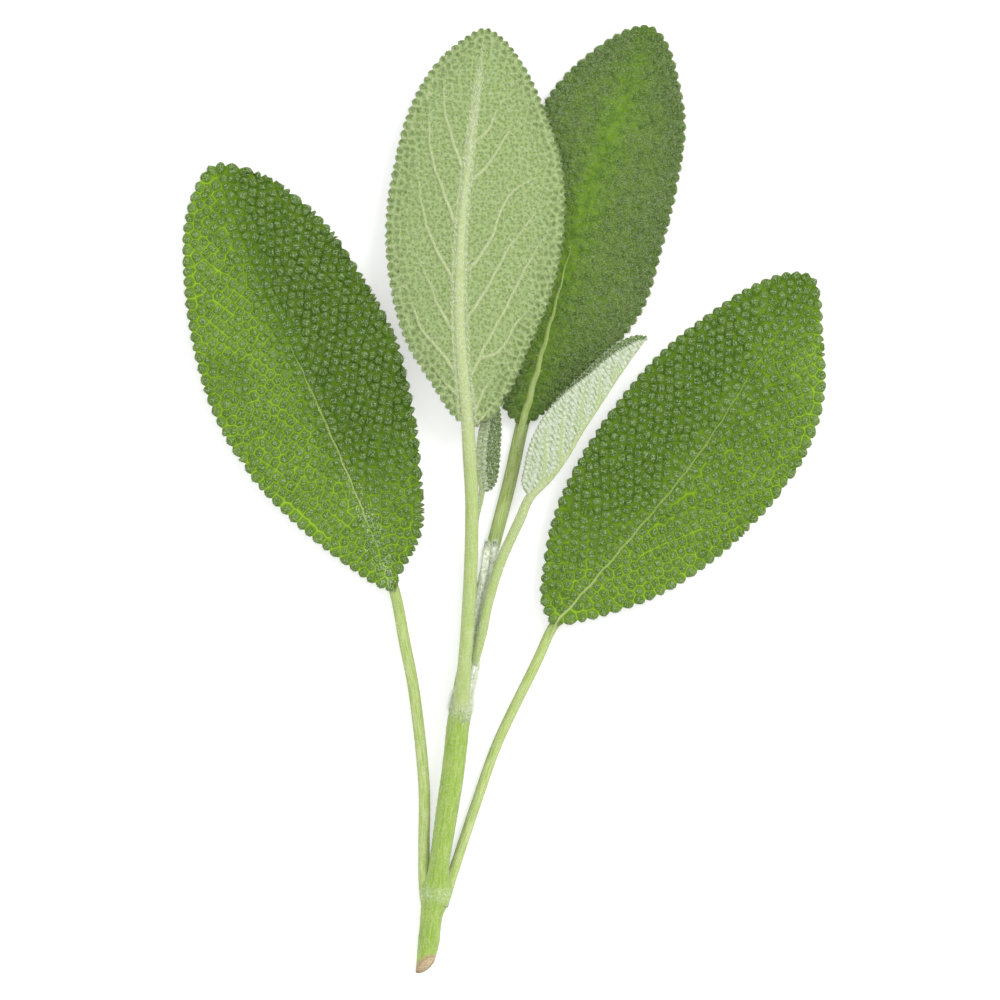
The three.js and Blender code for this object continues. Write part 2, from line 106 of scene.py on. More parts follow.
# Blisters, in blister pitches.
BESIDE_MIDRIB = 0.6  # from the midrib to the middles of the blisters that line it
BESIDE_VEIN = 0.52
LINING_ROOM = 0.78  # least gap between a blister that lines a vein and those before it
FIELD_PITCH = 0.93  # the field between the veins starts as a grid of about this pitch ...
FIELD_STRETCH = (1.06, 0.9)  # ... times these, along and across the leaf
FIELD_SHAKE = 0.35  # how far its points are shaken
FIELD_ROOM = 0.62  # least gap to the blisters that line the veins, and to the margin
LAST_SHAKE = 0.12  # the same once the points have been pushed apart
LAST_ROOM = 0.55
PUSH_ROUNDS = 12
PUSH_REACH = 1.3  # points that are nearer push each other apart
PUSH_STEP = 0.3

SMALLEST_EDGE = 0.14
CELL_CUTS = 2  # across every edge of the sheet of cells
OUTLINE_STEPS = 24  # points on the outline between two of its corners
TUBE_SIDES = 14
SAME_PLACE = 1e-4  # points nearer together than this are one

# The strokes of a folded leaf are painted shadow along its tertiary veins.
STROKE_PITCH = 0.52  # of the strokes on a folded leaf, and of the rows that they stand in
ROW_PITCH = 1.0
FELT_PITCH = 0.00052  # of the dimples in the felt of an underside, in metres
TABLE_GLOW = 0.5  # the table is a milky light table
STUDIO_LIGHT = 1.6  # how much brighter than its own colour a surface looks under the lamps
WOOL_WHITE = (0.86, 0.88, 0.8, 1.0)
HAIR_SEED = 100  # added to a leaf's seed for its hairs
STEM_HAIR_SEED = 31
HAIR_ROOT = 0.03  # how deep a hair is rooted
HAIR_SIDES = 3
NO_HAIRS_WAY = (0.3, 0.2, 0.93)  # along which no hair points

# How many hairs a piece has and how they stand: lift raises them, mess turns them at random and lay
# bends them one way; their lengths are drawn between two, and width is half their thickness.
HAIRS = {
    "down": dict(count=7000, lift=0.5, mess=0.6, length=(0.12, 0.34), width=0.024),
    "combed": dict(count=23000, lift=0.4, mess=0.45, length=(0.25, 0.6), width=0.024),
    "base_silk": dict(count=350, lift=0.25, mess=0.4, length=(0.4, 0.9), width=0.022),
    "vein_silk": dict(count=2600, lift=0.25, mess=0.4, length=(0.4, 0.9), width=0.022),
    "fringe": dict(count=2600, lift=0.8, mess=0.4, length=(0.12, 0.34), width=0.024),
    "stalk": dict(count=3500, lift=0.7, mess=0.5, length=(0.15, 0.42), width=0.024),
    "young_stalk": dict(count=3000, lift=0.7, mess=0.5, length=(0.15, 0.42), width=0.024),
    "thick_wool": dict(count=7000, lift=0.6, mess=0.6, length=(0.12, 0.36), width=0.026),
    "thin_wool": dict(count=2600, lift=0.6, mess=0.6, length=(0.12, 0.36), width=0.026),
    "stem_down": dict(count=8000, lift=0.6, mess=0.35, length=(0.12, 0.3), width=0.018, lay=(0, 0.8, 0)),
    "stem_wool": dict(count=4500, lift=0.6, mess=0.6, length=(0.4, 0.9), width=0.026, lay=(0, 0.5, 0)),
    "shoot_silk": dict(count=3000, lift=0.5, mess=0.3, length=(0.3, 0.7), width=0.028, lay=(0.2, 0.9, 0)),
}

# Values of a leaf that gives none of its own. A face is painted lit, fresher in green with a brighter
# net, or painted shaded and darker: this painted light is the stronger the higher its net_left and
# net_right are, with net_turn where the one goes over into the other, net_base and net_tip added at
# the ends and rib_glow along the midrib. The midrib shows as rib_strength up to rib_end, less by
# rib_hidden at the base; vein_width is how far from a vein its colour reaches.
USUAL_LEAF = dict(
    face_up=True, downy=False, net_left=0.5, net_right=0.5, net_base=0, net_tip=0, net_turn=(-2.5, 2.5),
    rib_end=0.97, rib_strength=1.0, rib_hidden=0, rib_glow=0, vein_gap=0.052, vein_width=0.42,
)

# Half-widths are measured square to the line from base to tip, at nine stations that crowd
# towards both ends. Heights and midrib bows are given at even steps from base to tip. Left is
# the left-hand side with the tip ahead, seen from above. Slopes are the rise of the two halves
# away from the midrib. A stalk's points are x, y, z. A midrib that shows on the face is given as
# face_rib: the shares where it starts and ends, and its half-widths there.
OPEN_LEAVES = {
    "leaf_left": dict(
        slot="leaf_green", seed=11,
        base=(-14.3, -12.1), tip=(-38.0, 43.6),
        left=(1.8, 4.6, 8.2, 11.4, 12.7, 11.7, 9.4, 6.5, 2.9),
        right=(1.4, 6.4, 9.2, 11.7, 13.2, 12.3, 10.5, 7.1, 3.1),
        bow=(0, -0.35, -0.2, 0.4, 0), heights=(1.9, 2.2, 2.1, 1.5, 0.48),
        slope_left=0.12, slope_right=0.15,
        pitch=1.15, teeth_left=1.45, teeth_right=1.95, net_left=1.0, net_right=0.12, net_base=0.8,
        net_turn=(-3.0, 4.5),
        rib_end=0.66, rib_strength=0.9, rib_hidden=0.75, side_strength=0.54, net_tip=0.2,
        face_rib=(0.15, 0.62, 0.12, 0.05),
        stalk=((-10.0, -52.6, 1.6), (-10.25, -50.8, 1.5), (-10.45, -48.9, 1.3), (-10.52, -46.8, 1.2),
               (-10.52, -44.5, 1.1), (-10.55, -36.5, 1.1), (-11.75, -25.4, 1.2), (-13.1, -18.3, 1.4)),
        stalk_radius=0.74,
    ),
    "leaf_right": dict(
        slot="leaf_green", seed=12,
        base=(6.3, -16.5), tip=(40.1, 29.0),
        left=(3.1, 5.8, 8.7, 10.4, 10.8, 10.1, 8.0, 5.6, 2.8),
        right=(1.6, 4.9, 8.9, 11.8, 13.3, 13.2, 10.5, 5.6, 2.2),
        bow=(0, -1.15, -1.85, -1.0, 0), heights=(1.9, 2.3, 2.2, 1.5, 0.48),
        slope_left=0.16, slope_right=0.11,
        pitch=1.15, teeth_left=1.5, teeth_right=1.55, net_left=0.2, net_right=1.0,
        net_base=0.45, net_tip=0.25, net_turn=(-7.0, 1.5),
        rib_end=0.8, rib_strength=0.8, side_strength=0.5,
        face_rib=(0.0, 0.76, 0.17, 0.05), rib_glow=0.35,
        stalk=((-8.2, -52.8, 1.7), (-7.7, -51.2, 1.55), (-7.0, -49.2, 1.3), (-6.2, -46.9, 1.1),
               (-5.35, -44.3, 1.1), (-3.6, -39.1, 1.1), (-0.8, -31.3, 1.2), (4.0, -21.4, 1.5)),
        stalk_radius=0.66,
    ),
    "leaf_front": dict(
        slot="leaf_underside", seed=13,
        base=(-4.8, 9.4), tip=(-2.6, 61.1),
        left=(2.1, 4.8, 8.6, 10.9, 11.8, 11.0, 9.3, 6.3, 2.5),
        right=(3.2, 5.4, 7.6, 10.2, 11.4, 10.9, 8.4, 5.5, 2.5),
        bow=(0, 1.6, 1.9, 1.05, 0), heights=(5.3, 5.8, 5.7, 5.0, 3.5),
        slope_left=-0.13, slope_right=-0.1, face_up=False,
        pitch=1.0, teeth_left=1.1, teeth_right=1.05, side_strength=0.8,
        side_veins=(
            ((-4.4, 45.9), (-2.3, 47.7), (-0.7, 51.1), (0.5, 52.0)),
            ((-4.4, 41.1), (-1.8, 43.8), (0.5, 47.5), (3.9, 48.9)),
            ((-4.8, 29.5), (-2.0, 33.4), (0.0, 38.5), (2.9, 41.1), (6.7, 41.8)),
            ((-5.2, 23.1), (-2.7, 26.7), (0.4, 32.4), (3.1, 35.9), (5.2, 39.8)),
            ((-4.5, 15.7), (-2.7, 19.6), (0.1, 24.8), (2.9, 30.4), (6.4, 35.9)),
            ((-3.2, 18.3), (-0.8, 19.1), (1.7, 23.1), (4.8, 26.1)),
            ((-3.9, 11.3), (-2.7, 14.2), (-0.3, 17.4)),
            ((-3.4, 9.9), (-2.0, 11.7), (-0.3, 13.4)),
            ((-5.6, 42.9), (-7.0, 47.2), (-7.9, 51.1), (-7.7, 55.6)),
            ((-6.5, 35.6), (-7.9, 39.6), (-9.6, 44.9), (-9.9, 51.9)),
            ((-6.5, 28.2), (-8.5, 31.5), (-10.4, 36.3), (-11.6, 43.8)),
            ((-6.9, 22.0), (-8.5, 24.7), (-10.0, 28.5), (-11.6, 32.0)),
            ((-6.5, 16.5), (-8.6, 19.4), (-10.8, 22.0), (-12.9, 27.6)),
            ((-6.1, 13.3), (-8.6, 16.1), (-10.0, 17.7)),
        ),
        stalk=((-5.85, -28.6, 4.0), (-5.7, -26.6, 4.7), (-5.5, -24.4, 5.25), (-5.2, -20.9, 5.5),
               (-4.8, -15.7, 5.5), (-4.4, -7.9, 5.5), (-4.3, -0.1, 5.5), (-4.6, 5.6, 5.5)),
        stalk_radius=0.88,
    ),
    "leaf_back": dict(
        slot="leaf_green", seed=14,
        base=(2.2, 9.5), tip=(18.9, 61.6),
        left=(3.0, 4.4, 7.5, 10.4, 11.4, 10.9, 9.4, 6.1, 2.7),
        right=(1.6, 4.0, 7.5, 10.4, 10.4, 9.8, 8.45, 5.5, 2.7),
        bow=(0, 0.6, 1.1, 0.6, 0), heights=(1.5, 1.9, 1.8, 1.3, 0.48),
        slope_left=0.02, slope_right=0.12,
        pitch=1.05, teeth_left=1.4, teeth_right=1.4, net_left=0.3, net_right=0.3, net_base=-0.3,
        rib_end=0.9, rib_strength=0.8, side_strength=0.25,
        stalk=((-5.8, -26.0, 1.7), (-5.4, -23.5, 1.15), (-4.3, -18.3, 0.95), (-2.0, -7.9, 0.95),
               (0.5, 1.8, 1.1)),
        stalk_radius=0.9, face_rib=(0.0, 0.47, 0.56, 0.03), rib_glow=0.75, downy=True,
    ),
}

# The young pair is folded along the midrib, its keel: the left half lies above the right half,
# seen from the keel, and both open towards open_side. Slopes are the rise away from the keel.
FOLDED_LEAVES = {
    "leaf_folded": dict(
        slot="leaf_woolly", wool="thick_wool", seed=21, open_side=1,
        base=(3.25, 0.25), tip=(18.5, 21.1),
        left=(2.15, 3.5, 5.0, 5.4, 4.85, 3.65, 2.65, 1.55, 0.55),
        right=(2.1, 3.4, 4.9, 5.35, 5.1, 4.25, 3.45, 2.65, 1.45),
        bow=(0, 0), keel=(0, -0.7, -0.3, -0.1, 0.1, 0), heights=(4.6, 4.8, 4.8, 4.4, 3.8),
        slope_left=0.42, slope_right=-0.06,
        pitch=0.68, teeth_left=0.64, teeth_right=0.68, side_strength=1.0, vein_gap=0.085, vein_width=0.75,
        stalk=((-4.3, -22.8, 3.3), (-4.0, -21.4, 3.75), (-3.7, -20.0, 4.35), (-3.0, -17.4, 4.8),
               (-2.1, -13.1, 4.8), (-0.45, -7.9, 4.8), (1.9, -2.7, 4.7)),
        stalk_radius=0.66,
    ),
    "leaf_small": dict(
        slot="leaf_woolly", wool="thin_wool", seed=22, open_side=-1,
        base=(-3.0, 0.9), tip=(-1.7, 13.1),
        left=(0.95, 1.2, 1.3, 1.35, 1.35, 1.3, 1.2, 1.0, 0.7),
        right=(1.4, 2.3, 2.9, 3.2, 3.2, 3.0, 2.5, 1.8, 1.0),
        bow=(0, 0), keel=(0, 0.85, 1.1, 0.85, 0), heights=(2.9, 3.1, 3.1, 3.1, 3.0),
        slope_left=0.4, slope_right=-0.05,
        pitch=0.62, teeth_left=0.7, teeth_right=0.7, side_strength=0.9, vein_gap=0.1,
        stalk=((-5.1, -22.4, 3.0), (-4.9, -18.9, 2.6), (-4.5, -14.5, 2.5), (-4.2, -7.9, 2.5),
               (-3.95, -3.4, 2.7)),
        stalk_radius=0.42,
    ),
}

# Beads of x, y, z, half-width and half-height.
STEM = (
    (-10.35, -60.6, 1.2, 1.25, 1.15), (-10.1, -59.2, 1.2, 1.32, 1.18), (-9.9, -57.5, 1.25, 1.35, 1.22),
    (-9.7, -55.5, 1.4, 1.33, 1.25), (-9.5, -53.8, 1.5, 1.42, 1.3), (-9.2, -52.6, 1.6, 1.62, 1.35),
    (-9.0, -51.7, 1.7, 1.85, 1.4), (-8.9, -50.8, 1.8, 1.98, 1.42), (-8.8, -50.0, 1.95, 1.85, 1.4),
    (-8.7, -49.2, 2.1, 1.5, 1.3), (-8.55, -47.4, 2.35, 1.28, 1.22), (-8.1, -44.4, 2.6, 1.3, 1.25),
    (-7.5, -40.4, 2.8, 1.38, 1.3), (-6.9, -36.5, 3.0, 1.42, 1.32), (-6.4, -32.4, 3.15, 1.42, 1.4),
    (-6.1, -29.5, 3.25, 1.42, 1.6), (-5.8, -27.8, 3.3, 1.4, 2.1), (-5.62, -26.6, 3.3, 1.36, 2.3),
    (-5.4, -25.6, 3.35, 1.2, 1.7), (-5.0, -24.6, 3.4, 0.95, 1.0), (-4.55, -23.2, 3.5, 0.78, 0.8),
    (-4.2, -21.8, 3.55, 0.74, 0.74), (-4.0, -20.5, 3.6, 0.6, 0.6),
)
CUT_LEAN = 0.8  # the cut runs slantwise across the stem ...
CUT_RISE = 0.65  # ... and faces a little upwards
CUT_REACH = 3.4  # how far up the stem the slant dies away
FIRST_NODE = 9.6  # along the stem, from the cut
SECOND_NODE = 34.8

SHOOT_TIP = (
    ((-4.4, -21.0, 3.5, 0.34), (-3.9, -16.5, 3.45, 0.34), (-3.4, -13.5, 3.4, 0.36), (-2.95, -11.0, 3.3, 0.46),
     (-2.55, -8.6, 3.2, 0.52), (-2.4, -6.6, 3.15, 0.44), (-2.4, -5.5, 3.1, 0.2)),
    ((-4.3, -20.6, 3.5, 0.3), (-3.5, -16.5, 3.4, 0.32), (-2.95, -13.5, 3.3, 0.36), (-2.2, -11.0, 3.1, 0.48),
     (-1.6, -8.6, 3.0, 0.55), (-1.35, -6.6, 2.95, 0.46), (-1.3, -5.5, 2.9, 0.2)),
)


# ------------------------------------------------------------------ values along a leaf

def along(values, share):
    """Smooth line through values at even steps, for an array of shares from 0 to 1."""
    values = np.asarray(values, float)
    place = np.clip(share, 0, 1) * (len(values) - 1)
    i = np.minimum(place.astype(int), len(values) - 2)
    f = place - i
    padded = np.concatenate([[2 * values[0] - values[1]], values, [2 * values[-1] - values[-2]]])
    p0, p1, p2, p3 = (padded[i + k] for k in range(4))
    bend = (2 * p0 - 5 * p1 + 4 * p2 - p3) * f + (3 * p1 - p0 - 3 * p2 + p3) * f * f
    return p1 + 0.5 * f * (p2 - p0 + bend)


def smooth_loop(corners, steps):
    """Closed centripetal curve through the corners, with so many steps between two of them."""
    corners = np.asarray(corners, float)
    points = []
    for i in range(len(corners)):
        x0, x1, x2, x3 = (corners[(i + k - 1) % len(corners)] for k in range(4))
        d0, d1, d2 = (math.sqrt(np.linalg.norm(q - p)) for p, q in ((x0, x1), (x1, x2), (x2, x3)))
        t1 = ((x1 - x0) / d0 - (x2 - x0) / (d0 + d1) + (x2 - x1) / d1) * d1
        t2 = ((x2 - x1) / d1 - (x3 - x1) / (d1 + d2) + (x3 - x2) / d2) * d1
        f = np.arange(steps)[:, None] / steps
        cubic = (2 * x1 - 2 * x2 + t1 + t2) * f**3 + (3 * x2 - 3 * x1 - 2 * t1 - t2) * f**2
        points.append(x1 + t1 * f + cubic)
    return np.vstack(points)


def chord(leaf):
    """Base, direction, left-hand direction and length of the line from base to tip."""
    base = np.array(leaf["base"], float)
    ahead = np.array(leaf["tip"], float) - base
    length = float(np.linalg.norm(ahead))
    ahead = ahead / length
    return base, ahead, np.array([-ahead[1], ahead[0]]), length


def chord_length(leaf):
    return chord(leaf)[3]


def lengths(vectors):
    """Lengths of the vectors, as a column."""
    return np.linalg.norm(vectors, axis=1)[:, None]


def unit(vectors):
    return vectors / (lengths(vectors) + TINY)


def run_along(line):
    """How far each point of a line lies along it."""
    return np.concatenate([[0], np.cumsum(np.linalg.norm(np.diff(line, axis=0), axis=1))])


def at_stops(line, run, stops):
    """The places on a line that lie so far along it."""
    return np.column_stack([np.interp(stops, run, line[:, k]) for k in range(line.shape[1])])


def blade_outline(leaf):
    """Closed outline as (along, across) points: base, left side, tip, right side."""
    length = chord_length(leaf)
    count = len(leaf["left"]) + 1
    at = length * (1 - np.cos(np.pi * np.arange(1, count) / count)) / 2
    left = np.column_stack([at, leaf["left"]])
    right = np.column_stack([at, -np.array(leaf["right"])])[::-1]
    corners = np.vstack([[[0, 0]], left, [[length, 0]], right])
    return smooth_loop(corners, OUTLINE_STEPS)


def inside(outline, points):
    """Which of the points lie inside the outline."""
    x, y = points[:, :1], points[:, 1:]
    x1, y1 = outline[:, 0], outline[:, 1]
    x2, y2 = np.roll(x1, -1), np.roll(y1, -1)
    crosses = (y1 > y) != (y2 > y)
    run = np.where(y2 == y1, TINY, y2 - y1)
    left_of = x < x1 + (x2 - x1) * (y - y1) / run
    return (crosses & left_of).sum(1) % 2 == 1


def nearest(points, targets):
    """Distance from each point to the nearest target, and that target's number."""
    gap = np.linalg.norm(points[:, None, :] - targets[None, :, :], axis=2)
    number = gap.argmin(1)
    return gap[np.arange(len(points)), number], number


def nearest_in_blocks(points, targets, block=20000):
    """The same for many points, a block of them at a time."""
    parts = [nearest(points[i:i + block], targets) for i in range(0, len(points), block)]
    return np.concatenate([p[0] for p in parts]), np.concatenate([p[1] for p in parts])


def smoothstep(low, high, value):
    """0 at low, 1 at high, smooth between."""
    t = np.clip((value - low) / (high - low), 0, 1)
    return t * t * (3 - 2 * t)


# ------------------------------------------------------------------ veins

def midrib_line(leaf):
    """Points along the midrib in (along, across)."""
    length = chord_length(leaf)
    a = np.arange(VEIN_STEP, MIDRIB_END * length, VEIN_STEP)
    return np.column_stack([a, along(leaf["bow"], a / length)])


def known_vein_lines(leaf):
    """The side veins that are given as places on the sprig, in (along, across)."""
    base, ahead, left, _ = chord(leaf)
    lines = []
    for places in leaf["side_veins"]:
        away = np.array(places) - base
        line = np.column_stack([away @ ahead, away @ left])
        line[0] -= VEIN_ROOT * (line[1] - line[0]) / np.linalg.norm(line[1] - line[0])
        steps = int(np.linalg.norm(line[-1] - line[0]) / VEIN_STEP)
        lines.append(smooth_line(np.column_stack([line, np.zeros(len(line))]), steps)[0][:, :2])
    return lines


def side_vein_lines(leaf, outline, rng):
    """Side veins leave the midrib at a sharp angle, curve towards the tip and fade near the margin."""
    if "side_veins" in leaf:
        return known_vein_lines(leaf)
    length = chord_length(leaf)
    first, last = SIDE_VEIN_SHARES
    shortest = 6  # points of a vein
    short_of_margin = 4
    lines = []
    start = first * length
    side = 1
    while start < last * length:
        lean = math.radians(rng.uniform(*SIDE_VEIN_LEAN))
        bend = rng.uniform(*SIDE_VEIN_BEND)
        t = np.arange(0, 0.5 * length, VEIN_STEP)
        across = along(leaf["bow"], np.full(1, start / length))[0] + side * t * math.sin(lean)
        wobble = WOBBLE * np.sin(t / WOBBLE_RUN + rng.uniform(0, 6)) * smoothstep(0, 4, t)
        outward = side * (bend * t * t + wobble)
        line = np.column_stack([start + t * math.cos(lean), across + outward])
        keep = inside(outline, line)
        if not keep.all():
            line = line[:max(int(keep.argmin()) - short_of_margin, 0)]
        if len(line) > shortest:
            lines.append(line)
        start += rng.uniform(*SIDE_VEIN_GAPS) * leaf["vein_gap"] * length
        side = -side
    return lines


# ------------------------------------------------------------------ blister cells

def margin_seeds(outline, leaf, rng):
    """Middles of the beads on the margin, and their mirror images outside it."""
    loop = np.vstack([outline, outline[:1]])
    run = run_along(loop)
    tip_run = run[len(outline) // 2]
    stops = []
    depths = []
    for start, end, pitch in ((0, tip_run, leaf["teeth_left"]), (tip_run, run[-1], leaf["teeth_right"])):
        count = round((end - start) / pitch)
        place = np.arange(count) + 0.5 + rng.uniform(-BEAD_SHIFT, BEAD_SHIFT, count)
        stops.append(start + place * (end - start) / count)
        depths.append(np.full(count, BEAD_DEPTH * pitch))
    stops = np.concatenate(stops)
    depth = np.concatenate(depths)[:, None]
    at = at_stops(loop, run, stops)
    ahead = at_stops(loop, run, stops + 0.2) - at
    ahead /= lengths(ahead)
    inward = np.column_stack([ahead[:, 1], -ahead[:, 0]])
    return at + depth * inward, at - depth * inward


def vein_seeds(line, pitch, offset):
    """Blister middles on both sides of a vein, in step but half a pitch apart."""
    run = run_along(line)
    seeds = []
    for side in (1, -1):
        stops = np.arange((0.5 + 0.25 * side) * pitch, run[-1], pitch)
        at = at_stops(line, run, stops)
        ahead = unit(at_stops(line, run, stops + 0.3) - at)
        seeds.append(at + side * offset * np.column_stack([-ahead[:, 1], ahead[:, 0]]))
    return np.vstack(seeds)


def spread(free, fixed, pitch):
    """Pushes the free points apart until they stand about evenly."""
    for _ in range(PUSH_ROUNDS):
        everyone = np.vstack([free, fixed])
        away = free[:, None, :] - everyone[None, :, :]
        gap = np.linalg.norm(away, axis=2) + 1e-6
        push = np.clip(1 - gap / (PUSH_REACH * pitch), 0, None)
        push[np.arange(len(free)), np.arange(len(free))] = 0
        free = free + PUSH_STEP * pitch * ((push / gap)[:, :, None] * away).sum(1)
    return free


def lining_seeds(beads, veins, outline, pitch):
    """The beads, and after them the blisters that line the veins where there is room."""
    seeds = list(beads)
    for number, line in enumerate(veins):
        for seed in vein_seeds(line, pitch, (BESIDE_VEIN if number else BESIDE_MIDRIB) * pitch):
            gap = np.linalg.norm(np.array(seeds) - seed, axis=1).min()
            if gap > LINING_ROOM * pitch and inside(outline, seed[None])[0]:
                seeds.append(seed)
    return np.array(seeds)


def blister_seeds(leaf, outline, veins, rng):
    """All cell middles in (along, across), and which of them are ghosts outside the margin."""
    pitch = leaf["pitch"]
    beads, ghosts = margin_seeds(outline, leaf, rng)
    fixed = lining_seeds(beads, veins, outline, pitch)
    low, high = outline.min(0), outline.max(0)
    row = FIELD_PITCH * pitch
    a_step, c_step = (stretch * row for stretch in FIELD_STRETCH)
    grid = np.mgrid[low[0]:high[0]:a_step, low[1]:high[1]:c_step].reshape(2, -1).T
    grid = grid + rng.uniform(-FIELD_SHAKE, FIELD_SHAKE, grid.shape) * pitch
    grid = grid[inside(outline, grid)]
    grid = grid[nearest(grid, np.vstack([fixed, outline]))[0] > FIELD_ROOM * pitch]
    free = spread(grid, np.vstack([fixed, ghosts]), pitch)
    free += rng.uniform(-LAST_SHAKE, LAST_SHAKE, free.shape) * pitch
    free = free[inside(outline, free)]
    free = free[nearest(free, fixed)[0] > LAST_ROOM * pitch]
    seeds = np.vstack([fixed, free, ghosts])
    is_ghost = np.arange(len(seeds)) >= len(fixed) + len(free)
    return seeds, is_ghost


def circle_middle(a, b, c):
    """Middle of the circle through three points of the plane."""
    bx, by, cx, cy = b.x - a.x, b.y - a.y, c.x - a.x, c.y - a.y
    twice = 2 * (bx * cy - by * cx)
    b2, c2 = bx * bx + by * by, cx * cx + cy * cy
    return Vector((a.x + (cy * b2 - by * c2) / twice, a.y + (bx * c2 - cx * b2) / twice, 0))


def pull_notches(notches, outline, leaf):
    """Sets the notches just inside the margin, evenly deep."""
    places = np.array([vertex.co.to_2d() for vertex in notches])
    number = nearest(places, outline)[1]
    ahead = np.roll(outline, -1, axis=0) - np.roll(outline, 1, axis=0)
    ahead /= lengths(ahead)
    inward = np.column_stack([ahead[:, 1], -ahead[:, 0]])[number]
    pitch = np.where(number < len(outline) // 2, leaf["teeth_left"], leaf["teeth_right"])
    targets = outline[number] + NOTCH_DEPTH * pitch[:, None] * inward
    for vertex, target in zip(notches, targets):
        vertex.co = (*target, 0)


def swell_crests(bm, crests, outline):
    """Notes on every crest how far it lies from the margin that it swells out to."""
    swell_x, swell_y = float_layers(bm, "swell_x", "swell_y")
    places = np.array([vertex.co.to_2d() for vertex in crests])
    towards = outline[nearest(places, outline)[1]] - places
    for vertex, (x, y) in zip(crests, towards):
        vertex[swell_x] = x
        vertex[swell_y] = y


def once_each(items):
    """The items without repeats, in the order in which they come, so that each run gives the same."""
    return list(dict.fromkeys(items))


def only(kind, items):
    return [item for item in items if isinstance(item, kind)]


def float_layers(bm, *names):
    """Layers of numbers on the vertices, made where they aren't there yet."""
    for name in names:
        if name not in bm.verts.layers.float:
            bm.verts.layers.float.new(name)
    return [bm.verts.layers.float[name] for name in names]


def cell_fans(seeds, is_ghost):
    """A flat sheet of fans of triangles round the seeds, without the ghosts' own.

    Triangles between the seeds are poked at the middles of their circles, and the first edges
    are turned to join those middles: so every seed gets the fan of triangles of its own cell.
    """
    corners, _, triangles, origin, *_ = delaunay_2d_cdt([Vector(s) for s in seeds], [], [], 0, 1e-6)
    bm = bmesh.new()
    dome, net, *_ = float_layers(bm, "dome", "net", "bulge", "swell_x", "swell_y")
    cell = bm.faces.layers.int.new("cell")
    middles = [bm.verts.new((*corner, 0)) for corner in corners]
    for corner in triangles:
        bm.faces.new([middles[i] for i in corner])
    bmesh.ops.recalc_face_normals(bm, faces=bm.faces[:])
    first_edges = [edge for edge in bm.edges if not edge.is_boundary]
    poked = bmesh.ops.poke(bm, faces=bm.faces[:], offset=0, center_mode="MEAN")["verts"]
    around = [[edge.other_vert(vertex).co for edge in vertex.link_edges] for vertex in poked]
    circles = [circle_middle(*corners) for corners in around]
    bmesh.ops.rotate_edges(bm, edges=first_edges)
    for vertex, place in zip(poked, circles):
        vertex[net] = 1
        vertex.co = place
    for vertex, source in zip(middles, origin):
        vertex[dome] = 1
        for face in vertex.link_faces:
            face[cell] = source[0]
    ghosts = [vertex for vertex, source in zip(middles, origin) if is_ghost[source[0]]]
    bmesh.ops.delete(bm, geom=ghosts, context="VERTS")
    bmesh.ops.delete(bm, geom=[v for v in bm.verts if not v.link_faces], context="VERTS")
    return bm


def bead_margin(bm, outline, leaf):
    """Makes beads of the cells on the sheet's free edge, with a notch between each two of them."""
    dome, net, bulge = float_layers(bm, "dome", "net", "bulge")
    near_rim = once_each(vertex for edge in bm.edges if edge.is_boundary for vertex in edge.verts)
    bmesh.ops.remove_doubles(bm, verts=near_rim, dist=NOTCH_MERGE * leaf["teeth_left"])
    rim = [edge for edge in bm.edges if edge.is_boundary]
    pull_notches(once_each(vertex for edge in rim for vertex in edge.verts), outline, leaf)
    made = bmesh.ops.subdivide_edges(bm, edges=rim, cuts=1)["geom_inner"]
    crests = only(bmesh.types.BMVert, made)
    swell_crests(bm, crests, outline)
    for vertex in crests:
        vertex[bulge] = 1
        vertex[net] = 0
    bead_faces = once_each(face for crest in crests for face in crest.link_faces)
    bead_middles = once_each(v for face in bead_faces for v in face.verts if v[dome] == 1)
    bmesh.ops.connect_verts(bm, verts=crests + bead_middles)


def cell_sheet(seeds, is_ghost, outline, leaf):
    """A flat sheet of cells round the seeds, as a bmesh in (along, across).

    The layers say what a vertex is: dome 1 in the middle of a cell and 0 on its rim, net 1 on
    a net vein, bulge 1 halfway along the free edge of a bead on the margin.
    """
    bm = cell_fans(seeds, is_ghost)
    net = bm.verts.layers.float["net"]
    bmesh.ops.remove_doubles(bm, verts=[v for v in bm.verts if v[net] == 1], dist=SMALLEST_EDGE)
    bead_margin(bm, outline, leaf)
    bmesh.ops.subdivide_edges(bm, edges=bm.edges[:], cuts=CELL_CUTS, use_grid_fill=True)
    return bm


def two_skins(bm):
    """Doubles the sheet: the copy is the other skin, joined to the first round the margin."""
    skin = float_layers(bm, "skin")[0]
    for vertex in bm.verts:
        vertex[skin] = 1
        vertex.co.z = BLADE_HALF
    made = bmesh.ops.duplicate(bm, geom=bm.verts[:] + bm.edges[:] + bm.faces[:])["geom"]
    for vertex in only(bmesh.types.BMVert, made):
        vertex[skin] = -1
        vertex.co.z = -BLADE_HALF
    lower = only(bmesh.types.BMFace, made)
    for face in lower:
        face.material_index = 1
    bmesh.ops.reverse_faces(bm, faces=lower)
    rims = [edge for edge in bm.edges if edge.is_boundary]
    bmesh.ops.bridge_loops(bm, edges=rims)


# ------------------------------------------------------------------ meshes

def mesh_of(bm, name):
    mesh = bpy.data.meshes.new(name)
    bm.to_mesh(mesh)
    bm.free()
    return mesh


def read_all(items, field, kind=np.float32, width=1):
    """One field of all items, a row for each item where it holds more than one number."""
    values = np.empty(width * len(items), kind)
    items.foreach_get(field, values)
    return values.reshape(-1, width) if width > 1 else values


def read_layer(mesh, name):
    return read_all(mesh.attributes[name].data, "value").astype(float)


def read_whole_numbers(mesh, name):
    return read_all(mesh.attributes[name].data, "value", np.int32)


def write_layer(mesh, name, values):
    layer = mesh.attributes.get(name) or mesh.attributes.new(name, "FLOAT", "POINT")
    layer.data.foreach_set("value", np.asarray(values, np.float32))


def read_points(mesh):
    return read_all(mesh.vertices, "co", width=3).astype(float)


